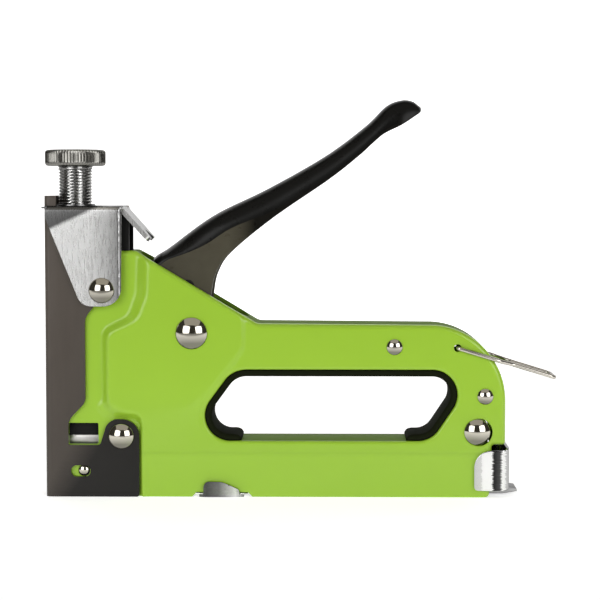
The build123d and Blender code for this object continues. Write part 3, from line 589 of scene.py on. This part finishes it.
def shells():
    """Both shells: pressed side, rounded edges and flanges to the middle plane."""
    outline, opening = resampled(body_outline(), 0.7), resampled(hand_opening(), 0.5)
    rear_x, rear_z, rear_radius = 142.25, 21.6, 4.45
    rear_hole = circle(rear_x, rear_z, rear_radius, 40)
    lock_hole = circle(LOCK[0], LOCK[2], 1.2, 20)
    window = resampled(rounded([(7.5, 17.3), (17.3, 17.3), (17.3, 24.3), (7.5, 24.3)], [0.5] * 4, 0.2), 0.7)
    rings = (0.1, 0.25, 0.45, 0.7, 1.0, 1.35, 1.75)
    flat, faces, loops = panel([outline, opening, rear_hole, lock_hole, window], 0.62, rings)
    level = shell_level(flat)
    # rounded edges, wider higher up on the outline
    outer_radius = 0.5 + 1.2 * smooth((flat[:, 1] - 2) / 8)
    for loop, radius in ((outline, outer_radius), (opening, 0.9), (lock_hole, 0.25), (rear_hole, 0.25)):
        inner = np.clip(radius - distance(flat, loop), 0, radius)
        level -= radius - np.sqrt(radius ** 2 - inner ** 2)
    points = [(x, -y, z) for (x, z), y in zip(flat, level)]

    def flange_end(x, z):
        """Half width at which the flange stops; None where the edge has no flange."""
        slot_front, slot_rear, end_round = 31, 66.5, 4
        if x < NOSE_X + 0.3 or (z > SHELL_TOP - 0.4 and x < SLOPE_X - 1.3):
            return None
        if z < 1.7 or (x > CUT_X - 1.5 and z < CUT_Z - 0.4):
            return CHANNEL_HALF
        slope = SHELL_TOP - (x - SLOPE_X) * (SHELL_TOP - GRIP_TOP) / (SLOPE_END - SLOPE_X)
        if abs(z - slope) < 1.5 and slot_front < x < slot_rear:
            # the slot for the handle ends in a round at either side
            past = min(min(x - slot_front, slot_rear - x) / end_round, 1)
            return SLOT_HALF * float(np.sqrt(np.clip(1 - (1 - past) ** 2, 0, 1))) + 0.02
        return 0.02

    made = {}

    def at(vertex, half):
        """Vertex on the flange below an edge vertex."""
        key = (vertex, half)
        if key not in made:
            x, _, z = points[vertex]
            made[key] = len(points)
            points.append((x, -half, z))
        return made[key]

    flange = len(faces)
    for loop in loops[:2]:
        for a, b in zip(loop, loop[1:] + loop[:1]):
            half_a, half_b = flange_end(*flat[a]), flange_end(*flat[b])
            if half_a is not None and half_b is not None:
                faces.append((b, a, at(a, half_a), at(b, half_b)))
    # the flange faces, from index flange on, take the darker copy of the green: painted shade
    for name, node, side in (("shell_near", "left_shell", 1), ("shell_far", "right_shell", -1)):
        piece(name, [(x, side * y, z) for x, y, z in points], [f[::side] for f in faces], "body",
              "green_paint", (GREEN, FLANGE_SHADE), [node], sheet=SHELL_SHEET, angle=40, second=flange)


# ---- folded sheets ----
def folded(half, radius):
    """Maps a distance along a sheet folded on both sides to its sideways place and depth."""
    flat_half, arc = half - radius, radius * pi / 2

    def place(s):
        """Sideways place and depth of a point of the sheet."""
        size, side = abs(s), (1 if s > 0 else -1)
        if size <= flat_half:
            return s, 0.0
        if size <= flat_half + arc:
            a = (size - flat_half) / radius
            return side * (flat_half + radius * sin(a)), radius * (1 - cos(a))
        return side * half, radius + size - flat_half - arc

    def along(depth):
        """Distance along the sheet of a point of its side that lies this deep."""
        return flat_half + arc + depth - radius

    bends = [sign * (flat_half + arc * k / 8) for sign in (-1, 1) for k in range(9)]
    return place, along, bends


def mirrored(side, radii):
    """Closed outline with rounded corners from one side's points, the first and last on the middle line."""
    side = [np.array(p, float) for p in side]
    other = [np.array((-p[0], p[1])) for p in reversed(side)]
    return rounded(side + other, radii + radii[::-1])


def nose_cover():
    """Folded cover over the nose; at() takes the distance behind the nose's front face."""
    place, at, bends = folded(COVER_OUT, 1.7)
    top = BRACKET_HIGH[2] - BRACKET_SHEET - 0.1
    side = [(at(30.8), 0), (at(30.8), 25.6), (at(20.6), 25.6), (at(18.0), 17.1), (at(7.5), 17.1),
            (at(7.5), 25.2), (at(13.2), 31.2), (at(13.2), 59.0), (at(17.5), 64.5), (at(17.5), top),
            (at(4.0), top), (at(4.0), COVER_HIGH[2])]
    radii = [0.8, 5.6, 4.4, 1.2, 0.4, 5.0, 4.5, 5.0, 3.0, 0.4, 0.2, 0.5]
    loop = mirrored(side, radii)
    slot = rounded([(at(8.3), 6.6), (at(14.8), 6.6), (at(14.8), 10.4), (at(8.3), 10.4)], [1.85] * 4, 0.2)
    loops = [resampled(loop, 0.9), resampled(slot, 0.4), resampled(slot * (-1, 1), 0.4)]
    rows = np.arange(1, COVER_HIGH[2], 3.1)
    columns = bends + [0, -4, 4] + [sign * at(x) for sign in (-1, 1) for x in (5, 9, 16, 22, 27)]
    flat, faces, _ = panel(loops, 0.9, (0.4,), columns, rows)
    points = []
    for u, z in flat:
        y, x = place(u)
        points.append((x, y, z))
    # anticlockwise faces +X here, so the sheet is turned to face the front
    faces = [tuple(reversed(f)) for f in faces]
    piece("cover_sheet", points, faces, "body", "nose_paint", NOSE_PAINT, ["nose_cover"], sheet=COVER_SHEET,
          bevel=0.22, angle=35)


def top_bracket():
    """Spring bracket: plate with two cheeks and a bent tongue, and the collar round the screw."""
    fold = 1.9
    place, along, bends = folded(BRACKET_OUT, fold)
    top = BRACKET_HIGH[2] - 0.5
    flat_half = BRACKET_OUT - fold
    bend_x, bend_radius, tilt = 24.2, 2.2, radians(48)
    bend = bend_radius * tilt

    def at(z):
        """Distance along the fold of a height on the cheek."""
        return along(top - z)

    # first coordinate is the distance along the fold, second is X
    side = [(4.6, 39.6), (flat_half - 0.6, 39.2), (flat_half, 25.6), (at(72), 25.3), (at(62.9), 25.3),
            (at(62.9), 12.3), (at(92.2), 0.5), (at(95), 0.6), (flat_half + 0.3, 0.6), (flat_half + 0.2, 4.3)]
    radii = [0, 0.6, 1.4, 0.5, 0.5, 5.9, 4.8, 1.2, 0.3, 0.3, 0.4, 0]
    loop = mirrored([(0.01, 35.2), *side, (0.01, 4.3)], radii)
    hole = circle(0, SCREW_X, 5.9, 48)
    rows = list(np.arange(2, 23, 1.6)) + [bend_x + bend * k / 8 for k in range(-2, 9)] + [29, 33, 37]
    columns = bends + [-6, -3, 0, 3, 6] + [sign * at(z) for sign in (-1, 1) for z in np.arange(64, 92.6, 1.3)]
    flat, faces, _ = panel([resampled(loop, 0.9), hole], 0.9, (0.35,), columns, rows)
    points = []
    for u, x in flat:
        y, depth = place(u)
        z = top - depth
        past = x - bend_x
        if past > 0 and abs(u) <= flat_half + 0.01:
            a = min(past, bend) / bend_radius
            rest = max(past - bend, 0)
            z = top - bend_radius * (1 - cos(a)) - rest * sin(tilt)
            x = bend_x + bend_radius * sin(a) + rest * cos(tilt)
        if depth > 1.0:
            # the rear edge is rolled inwards
            y -= 0.6 * max(0, x - 24.35) ** 2 * (1 if y > 0 else -1)
        points.append((x, y, z))
    piece("bracket_sheet", points, [tuple(reversed(f)) for f in faces], "body", "nickel", NICKEL,
          ["top_bracket"], sheet=BRACKET_SHEET, bevel=0.25, angle=35)
    profile = [(5.9, -0.4), (6.5, -0.1), (6.45, 0.35), (6.2, 0.5), (5.95, 0.5), (5.85, 0.3), (5.85, -1.4)]
    ring = lathe([(r, z + top) for r, z in profile], 64)
    nubs = [block(-0.55, 1.4, *ys, top - 0.9, top - 0.3, 0.25) for ys in ((-10.9, -9.6), (9.6, 10.9))]
    shape = joined((moved(ring[0], Matrix.Translation((SCREW_X, 0, 0))), ring[1]), *nubs)
    piece("bracket_collar", *shape, "body", "nickel", NICKEL, angle=30)


def end_cap():
    """Cap at the magazine's rear: wings, rear wall and the pull tongue."""
    fold = 1.6
    place, along, bends = folded(CAP_HIGH[1], fold)
    rear = REAR_X + 0.1 + CAP_SHEET

    def at(x):
        """Distance along the fold of a place on the wing."""
        return along(rear - x)

    wall = CAP_HIGH[1] - fold
    side = [(0.01, 3.6), (wall, 3.6), (at(149.9), 2.5), (at(140.8), 2.5), (at(140.8), 15.7),
            (at(150.2), 15.7), (wall, 16.6), (0.01, 16.6)]
    radii = [0, 0.5, 0.8, 1.2, 5.7, 0.8, 0.8, 0]
    loop = mirrored(side, radii)
    columns = bends + [-5, 0, 5] + [sign * at(x) for sign in (-1, 1) for x in np.arange(141.6, 150.2, 0.6)]
    flat, faces, _ = panel([resampled(loop, 0.6)], 0.7, (0.3,), columns, np.arange(4, 16, 1.5))
    points = []
    for u, z in flat:
        y, depth = place(u)
        if depth > 1.2:
            # the wings bulge a little
            from_middle = (rear - depth - 146.0) / 5.2
            y -= 0.6 * from_middle ** 2 * (1 if y > 0 else -1) * smooth((depth - 1.2) / 1.5)
        points.append((rear - depth, y, z))
    piece("cap_sheet", points, faces, "magazine", "nickel", WING_NICKEL, ["end_cap"], sheet=0.9, bevel=0.2,
          angle=35)
    foot = rounded([(146.0, 0.7), (150.5, 0.7), (155.3, 1.5), (155.3, 2.4), (150.2, 2.9), (146.0, 1.9)],
                   [0.2, 3, 0.3, 0.35, 3, 0.2], 0.3)
    shape = extruded(foot, -5.4, 5.4)
    stem = block(rear - CAP_SHEET, rear - 0.05, -5.2, 5.2, 2.0, 4.2, 0.2)
    # painted shade: the pull tongue, part of the nickel cap, takes the darker spring steel finish so that its
    # top face reads grey
    piece("cap_tongue", *joined(shape, stem), "magazine", "nickel", SPRING, bevel=0.2)


def magazine():
    """Channel with its strap and ears at mid length."""
    low, high = span("magazine_channel")
    inner = 6.8
    section = [(-inner, high[2]), (-inner, 0.5), (-inner + 0.5, 0), (inner - 0.5, 0), (inner, 0.5),
               (inner, high[2])]
    xs = np.linspace(low[0], high[0], 48)
    points = [(x, y, z) for x in xs for y, z in section]
    piece("channel_sheet", points, grid_faces(len(xs), len(section)), "body", "nickel", CAP_NICKEL,
          ["magazine_channel"], sheet=CHANNEL_SHEET, bevel=0.1)
    half, fold = HALF_BODY + 0.1 + CHANNEL_SHEET, 1.3
    place, along, bends = folded(half, fold)
    bottom = half - fold
    side = [(0.01, 50.5), (bottom, 50.5), (bottom, 52.0), (along(5.3), 52.0), (along(5.1), 58.2),
            (along(2.6), 63.8), (bottom, 63.8), (bottom, 65.2), (0.01, 65.2)]
    radii = [0, 0.3, 0.3, 1.9, 5.0, 1.3, 0.3, 0.3, 0]
    loop = mirrored(side, radii)
    flat, faces, _ = panel([resampled(loop, 0.5)], 0.6, (0.25,), bends, np.arange(51, 65, 1.5))
    points = [(x, *place(u)) for u, x in flat]
    piece("magazine_strap", points, faces, "body", "nickel", EAR_NICKEL, sheet=CHANNEL_SHEET, bevel=0.15,
          angle=35)
    strips = [block(x0, x1, -HALF_BAND + 0.1, HALF_BAND - 0.1, 0.85, 1.35, 0.1)
              for x0, x1 in ((49.3, 52.4), (63.4, 66.5))]
    piece("magazine_strips", *joined(*strips), "body", "nickel", CAP_NICKEL, bevel=0.06)


def striker():
    """Plunger: bright ground foot below, body above in black, which stands in for the shade in the recess
    over the foot: painted shade.
    """
    low, high = span("plunger")
    front = low[0] + 2.5
    foot = block(front, 17.2, -5.5, 5.5, low[2] - 0.7, low[2] + 2.2, 0.3)
    piece("plunger_foot", *foot, "striker", "steel", STEEL, ["plunger"], bevel=0.2)
    upper = joined(block(front, 14.4, -5.2, 5.2, low[2] + 8, high[2], 0.5),
                   block(front, 17.3, -5.3, 5.3, low[2] + 2.25, low[2] + 7.95, 0.3),
                   block(14.5, 25.4, -4.2, 4.2, 42.4, 46.4, 0.8),
                   block(low[0], front - 0.05, -2.6, 2.6, 35, 41, 0.4))
    piece("plunger_body", *upper, "striker", "black_paint", FRAME_BLACK, bevel=0.25)


# ---- turned pieces ----
def dome_profile(radius, height):
    """Half section of a domed head with a short upright edge."""
    edge = 0.3
    ball = (radius ** 2 + (height - edge) ** 2) / (2 * (height - edge))
    half = np.arcsin(min(1, radius / ball))
    profile = [(radius - 0.12, 0), (radius, 0.08), (radius, edge)]
    for k in range(1, 21):
        a = half * (1 - k / 20)
        profile.append((max(ball * sin(a), 0.001), height - ball + ball * cos(a)))
    return profile


def rivet_heads(name, stands_for, places):
    """Domed heads on both sides of the body; places are x, z, radius, height and half width."""
    shapes = []
    for x, z, radius, height, half in places:
        points, faces = lathe(dome_profile(radius, height), 56)
        for side in (-1, 1):
            matrix = Matrix.Translation((x, side * half, z)) @ Matrix.Rotation(-side * pi / 2, 4, "X")
            shapes.append((moved(points, matrix), faces))
    piece(name, *joined(*shapes), "body", "rivet_chrome", CHROME, [stands_for], angle=50)


def rivets():
    """All through rivets."""
    for name, half, height in [("bracket_rivet", BRACKET_OUT, 2.2), ("nose_rivet", COVER_OUT, 2.2),
                               ("pivot_rivet", HALF_CENTRE, 2.6), ("rear_rivet", HALF_BODY, 2.1)]:
        low, high = span(name)
        x, z, radius = (low[0] + high[0]) / 2, (low[2] + high[2]) / 2, (high[0] - low[0]) / 2 + 0.1
        rivet_heads(name + "_heads", name, [(x, z, radius, height, half)])
    low, high = span("grip_rivets")
    radius = 2.6
    rivet_heads("grip_rivet_heads", "grip_rivets",
                [(low[0] + radius, high[2] - radius, radius, 1.4, HALF_BODY),
                 (high[0] - radius, low[2] + radius, radius, 1.4, HALF_BODY)])
    low, high = span("magazine_pins")
    rivet_heads("magazine_pin_heads", "magazine_pins",
                [((low[0] + high[0]) / 2, (low[2] + high[2]) / 2, 1.85, 1.0, HALF_NOSE)])


def tension_screw():
    """Screw with a true helical thread and a straight knurled knob."""
    knob_top, knob_r, knob_h = SCREW_HIGH[2], (SCREW_HIGH[0] - SCREW_LOW[0]) / 2, 5.4
    under = knob_top - knob_h
    thread_top = under - 0.8
    crest, root = 5.7, 5.0

    def groove(r, z, a):
        """Thread form at a height and angle; the flat lower end has none."""
        if r <= root + 0.1:
            return 0
        phase = (z / THREAD_PITCH - a / tau) % 1.0
        fade = smooth((thread_top - z) / 0.5)
        tooth = abs(phase - 0.5) * 2
        return (crest - root) * (smooth((tooth - 0.12) / 0.8) - 1) * fade

    rows = np.arange(SCREW_LOW[2], thread_top, THREAD_PITCH / 9)
    shank = [(0.01, SCREW_LOW[2]), (root, SCREW_LOW[2])] + [(crest, z) for z in rows[1:]]
    shank_mesh = lathe(shank, 60, groove)
    neck_r = 5.4
    neck = lathe([(crest, thread_top - 0.06), (neck_r, thread_top + 0.3), (neck_r, under - 0.4),
                  (5.9, under - 0.02)], 60)
    ridges, edge = 62, 0.35

    def knurl(r, z, a):
        """Straight ridges, a little uneven."""
        if r < knob_r - 1.0 or not under + edge < z < knob_top - edge:
            return 0
        share = smooth((z - under - edge) / 0.6) * smooth((knob_top - edge - z) / 0.6)
        return -0.34 * share * (0.5 + 0.5 * cos(a * ridges)) * (0.85 + 0.15 * sin(a * 7 + 1))

    profile = [(5.5, under - 0.02), (knob_r - 1.5, under), (knob_r - 0.75, under + 0.06),
               (knob_r - 0.3, under + 0.3)]
    profile += [(knob_r, z) for z in np.linspace(under + 0.75, knob_top - 0.75, 9)]
    profile += [(knob_r - 0.3, knob_top - 0.3), (knob_r - 0.75, knob_top - 0.06), (knob_r - 1.5, knob_top)]
    profile += [(7.2, knob_top - 0.02), (6.8, knob_top - 0.3), (3, knob_top - 0.35),
                (0.01, knob_top - 0.35)]
    knob = lathe(profile, ridges * 6, knurl)
    points, faces = joined(shank_mesh, neck, knob)
    points = moved(points, Matrix.Translation((SCREW_X, 0, 0)))
    piece("screw_body", points, faces, "screw", "nickel", (THREAD, KNOB), ["tension_screw"], angle=38,
          second=len(shank_mesh[1]) + len(neck[1]))


# ---- handle ----
def spline(points, count):
    """Catmull-Rom curve through the points, evenly divided."""
    points = np.array(points, float)
    ends = np.vstack([2 * points[0] - points[1], points, 2 * points[-1] - points[-2]])
    out = []
    steps = 24
    for i in range(1, len(ends) - 2):
        p0, p1, p2, p3 = ends[i - 1:i + 3]
        for k in range(steps):
            t = k / steps
            out.append(0.5 * (2 * p1 + (p2 - p0) * t + (2 * p0 - 5 * p1 + 4 * p2 - p3) * t * t
                              + (3 * p1 - p0 - 3 * p2 + p3) * t ** 3))
    out.append(points[-1])
    out = np.array(out)
    far = np.concatenate([[0], np.cumsum(np.linalg.norm(np.diff(out, axis=0), axis=1))])
    at = np.linspace(0, far[-1], count)
    return np.stack([np.interp(at, far, out[:, k]) for k in range(out.shape[1])], axis=1)


def handle():
    """Folded handle: rounded back, open below, flat cheeks at the root and a rolled tip."""
    back = spline([(38.5, 56), (33.6, 71.0), (35.0, 78.0), (40.8, 82.2), (55.1, 92.5), (73.2, 101.4),
                   (91.9, 112.0), (105.0, 121.7), (111.9, 128.3), (117.0, 130.3), (120.6, 129.9),
                   (122.6, 128.4)], 120)
    lower = spline([(58.0, 55), (54.6, 62.0), (54.7, 67.5), (56.2, 73.8), (60.6, 80.2), (74.5, 91.6),
                    (93.2, 104.4), (103.1, 112.2), (107.6, 116.3), (111.6, 119.6), (117.6, 122.6),
                    (122.9, 126.1)], 120)
    columns = 41
    round_share = 0.75               # share of each half section that is the rounded corner
    narrowing = 2.1                  # how much half width is lost towards the tip
    points = []
    for top, low in zip(back, lower):
        reach = ((top + low) / 2 - PIVOT[[0, 2]]) @ np.array([1, 1]) / sqrt(2)
        half = HANDLE_OUT - narrowing * np.clip((reach - 33) / 70, 0, 1) - 0.02
        half *= 1 - 0.3 * smooth((reach - 98) / 9)
        height = np.linalg.norm(low - top)
        # the corner grows from the root on, until it takes most of the height
        corner, most = 2.8 + 6.0 * smooth((reach - 8) / 18), height * 0.9
        corner += (most - corner) * smooth((reach - 30) / 24)
        corner = min(corner, most)
        for j in range(columns):
            t = abs(j / (columns - 1) * 2 - 1)
            side = -1 if j < columns // 2 else 1
            # from the crown a rounded corner, then the flat cheek
            if t < round_share:
                a = t / round_share * pi / 2
                width, down = sin(a) ** 0.8, corner * (1 - cos(a))
            else:
                width, down = 1.0, corner + (height - corner) * (t - round_share) / (1 - round_share)
            at = top + (low - top) * (down / height)
            points.append((at[0], side * half * width, at[1]))
    faces = [tuple(reversed(f)) for f in grid_faces(len(back), columns)]
    middle = (columns - 1) / 2
    flat_cheek = [abs(k % (columns - 1) + 0.5 - middle) / middle > round_share for k in range(len(faces))]
    cheeks = [f for f, flat in zip(faces, flat_cheek) if flat]
    faces = [f for f, flat in zip(faces, flat_cheek) if not flat]
    # the tip is closed by drawing the last rows together
    last = np.array(points[-columns:])
    centre = last.mean(0) + np.array([0.35, 0, -0.2])
    for share, push in ((0.8, 0.45), (0.45, 0.8), (0.12, 0.9)):
        ring = centre + (last - centre) * share + np.array([0.5, 0, 0.35]) * push
        first = len(points) - columns
        points += [tuple(q) for q in ring]
        faces += [(first + j, first + columns + j, first + columns + j + 1, first + j + 1)
                  for j in range(columns - 1)]
    # the flat cheek faces take the lighter cheek copy of the black paint: painted sheen
    piece("handle_sheet", points, faces + cheeks, "lever", "black_paint", (BLACK, CHEEK_SHEEN), ["handle"],
          sheet=HANDLE_SHEET, bevel=0.15, angle=45, second=len(faces))


# ---- trim and wire ----
def grip_trim():
    """Plastic edging of the hand opening: a rounded strip along its edge, open along the lower side."""
    loop = resampled(hand_opening(), 0.6)
    front_end, rear_end = 64.2, 118.4
    start = np.argmin(np.hypot(loop[:, 0] - front_end, loop[:, 1] - OPENING_LOW))
    loop = np.roll(loop, -start, axis=0)
    if loop[5, 0] > loop[0, 0]:
        loop = np.roll(loop[::-1], 1, axis=0)
    stop = np.argmin(np.hypot(loop[:, 0] - rear_end, loop[:, 1] - OPENING_LOW))
    path = loop[:stop + 1]
    along = np.gradient(path, axis=0)
    along /= np.linalg.norm(along, axis=1)[:, None]
    normal = np.stack([along[:, 1], -along[:, 0]], axis=1)
    opening_centre = np.array([95.0, 30.0])
    normal *= np.sign(np.einsum("ij,ij->i", opening_centre - path, normal))[:, None]
    half, thick, edge, end_length = TRIM_HIGH[1] - 0.15, 2.2, 1.05, 2.6
    section = []
    for sy, sz, a0 in ((1, 1, 0), (-1, 1, 90), (-1, -1, 180), (1, -1, 270)):
        for k in range(7):
            a = radians(a0 + 90 * k / 6)
            section.append((sy * (half - edge) + edge * cos(a),
                            thick / 2 + sz * (thick / 2 - edge) + edge * sin(a)))
    far = np.concatenate([[0], np.cumsum(np.linalg.norm(np.diff(path, axis=0), axis=1))])
    points = []
    for p, n, d in zip(path, normal, far):
        near_end = min(d, far[-1] - d)
        grow = sqrt(max(0.02, 1 - max(0, 1 - near_end / end_length) ** 2))
        for y, t in section:
            at = p + n * (t * (0.3 + 0.7 * grow) + 0.03)
            points.append((at[0], y * (0.9 + 0.1 * grow), at[1]))
    count = len(section)
    faces = grid_faces(len(path), count, closed=True) + end_faces(count, len(points))
    piece("trim_strip", points, faces, "body", "trim_plastic", TRIM, ["grip_trim"], angle=60)


def lock_wire():
    """Wire bail on the body's rear, from hole to hole."""
    low, high = span("lock_wire")
    side, end, radius = HALF_BODY + 0.7, 7.0, 0.66
    reach = float(np.hypot(high[0] - radius - LOCK[0], LOCK[2] - low[2] - radius))
    drop = radians(17.1)             # how far the bail hangs below level
    flat = [(0, side - 2.9), (0, side), (14.4, side), (18.6, end), (reach, end), (reach, -end),
            (18.6, -end), (14.4, -side), (0, -side), (0, 2.9 - side)]
    path = [(LOCK[0] + u * cos(drop), v, LOCK[2] - u * sin(drop)) for u, v in flat]
    bent = rounded_path(path, [1.0, 4.0, 4.0, 1.6, 1.6, 4.0, 4.0, 1.0], 0.3)
    piece("bail_wire", *tube(bent, radius, 20), "lock", "steel", WIRE, ["lock_wire"], angle=60)


# ---- pieces inside ----
def springs():
    """Main spring and pusher spring: helical coils."""
    for name, wire, turns, body, joint in [("main_spring", 1.6, 10, "body", "plunger_lift"),
                                           ("pusher_spring", 0.5, 34, "magazine", "pusher_slide")]:
        low, high = span(name)
        length = high - low
        run = int(np.argmax(length))
        side, other = [k for k in range(3) if k != run]
        radius = (length[1] - wire) / 2
        a = np.linspace(0, turns * tau, turns * 20 + 1)
        path = np.tile((low + high) / 2, (len(a), 1))
        path[:, run] = np.linspace(low[run] + wire / 2, high[run] - wire / 2, len(a))
        path[:, side] += radius * np.cos(a)
        path[:, other] += radius * np.sin(a)
        coil = piece(name + "_coil", *tube(path, wire / 2, 10), body, "steel", SPRING, [name], angle=60)
        held = (low + high) / 2 * MM
        held[run] = high[run] * MM
        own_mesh(coil)


def inner_pieces():
    """CAD nodes whose shape is right keep it, with a finish of their own."""
    kept = {"inner_frame": FRAME_BLACK, "driver_blade": STEEL, "bumper": RUBBER, "spring_seat": STEEL,
            "lift_arm": STEEL, "lever_pin": FRAME_BLACK, "pivot_sleeve": STEEL, "return_spring": SPRING,
            "guide_rod": STEEL, "pusher": CAP_NICKEL, "spacer_sleeves": STEEL}
    for name, finish in kept.items():
        mesh = frame["nodes"][name].data
        mesh.materials.clear()
        mesh.materials.append(finish)
        shaded(mesh, 30)


# ---- studio ----
def emitter(name, place, target, size, power, colour=(1, 1, 1), spread=180):
    """Soft rectangular light aimed at a point, in metres."""
    light = bpy.data.lights.new(name, "AREA")
    light.shape, light.size, light.size_y = "RECTANGLE", *size
    light.energy, light.color, light.spread = power, colour, radians(spread)
    obj = linked(name, light)
    obj.location = place
    obj.rotation_euler = (Vector(target) - Vector(place)).to_track_quat("-Z", "Y").to_euler()


def sweep():
    """Pale sheet that lies under the tool and curves up behind it, in metres."""
    half_width, front, bend, radius, top = 2.5, -2.2, 1.2, 0.5, 3.0
    profile = [(front, 0.0), (bend, 0.0)]
    profile += [(bend + radius * sin(a), radius - radius * cos(a)) for a in np.linspace(0, pi / 2, 24)[1:]]
    profile += [(bend + radius, top)]
    points = [(0.1 + side * half_width, y, z) for y, z in profile for side in (-1, 1)]
    mesh = bpy.data.meshes.new("sweep")
    quads = [(2 * k, 2 * k + 1, 2 * k + 3, 2 * k + 2) for k in range(len(profile) - 1)]
    mesh.from_pydata(points, [], quads)
    mesh.polygons.foreach_set("use_smooth", [True] * len(mesh.polygons))
    paper = bpy.data.materials.new("paper")
    paper.use_nodes = True
    tree = paper.node_tree
    grain = add(tree, "TexNoise", {"Scale": 30})
    pale = add(tree, "MapRange", {"Value": grain, "To Min": 0.88, "To Max": 0.92})
    place = add(tree, "TexCoord", output="Object")
    depth = add(tree, "SeparateXYZ", {"Vector": place}, "Y")
    # painted shade: the paper darkens towards the front; painted light: it glows from inside under the tool
    # and far behind it
    front_shade = add(tree, "MapRange", {"Value": depth, "From Min": -0.34, "From Max": -0.18, "To Min": 0.6})
    tone = add(tree, "Math", {0: pale, 1: front_shade}, operation="MULTIPLY")
    under = add(tree, "MapRange", {"Value": depth, "From Min": -0.24, "From Max": -0.12, "To Max": 0.6},
                interpolation_type="SMOOTHSTEP")
    behind = add(tree, "MapRange", {"Value": depth, "From Min": 0.25, "From Max": 0.8, "To Max": 0.45},
                 interpolation_type="SMOOTHSTEP")
    glow = add(tree, "Math", {0: under, 1: behind}, operation="ADD")
    put(tree, tree.nodes["Principled BSDF"],
        {"Base Color": tone, "Roughness": 0.9, "Specular IOR Level": 0.1,
         "Emission Color": (1, 1, 1, 1), "Emission Strength": glow})
    mesh.materials.append(paper)
    obj = linked("sweep", mesh)


def studio():
    """Sweep, soft lights and the camera."""
    sweep()
    world = bpy.data.worlds.new("studio")
    world.use_nodes = True
    tree = world.node_tree
    put(tree, tree.nodes["Background"], {"Color": (0.045, 0.042, 0.035, 1), "Strength": 1.0})
    bpy.context.scene.world = world
    emitter("soft_left", (-0.415, -0.80, 0.33), MIDDLE, (0.62, 0.66), 0.85, spread=70)
    emitter("soft_right", (0.68, -0.76, 0.33), MIDDLE, (0.62, 0.66), 0.85, spread=70)
    emitter("ceiling", (0.08, -0.55, 1.3), MIDDLE, (2.0, 1.3), 3.2, (1, 0.95, 0.85))

    lens = bpy.data.cameras.new("camera")
    lens.lens, lens.sensor_width = 108, 36
    camera = linked("camera", lens)
    camera.location = (0.0935, -0.596, 0.1008)
    aim = Vector((0.0837, -0.010, 0.0650)) - camera.location
    camera.rotation_euler = aim.to_track_quat("-Z", "Y").to_euler()
    bpy.context.scene.camera = camera
    bpy.context.scene.view_settings.view_transform = "Standard"


shells()
nose_cover()
top_bracket()
end_cap()
magazine()
striker()
rivets()
tension_screw()
handle()
grip_trim()
lock_wire()
springs()
inner_pieces()
studio()
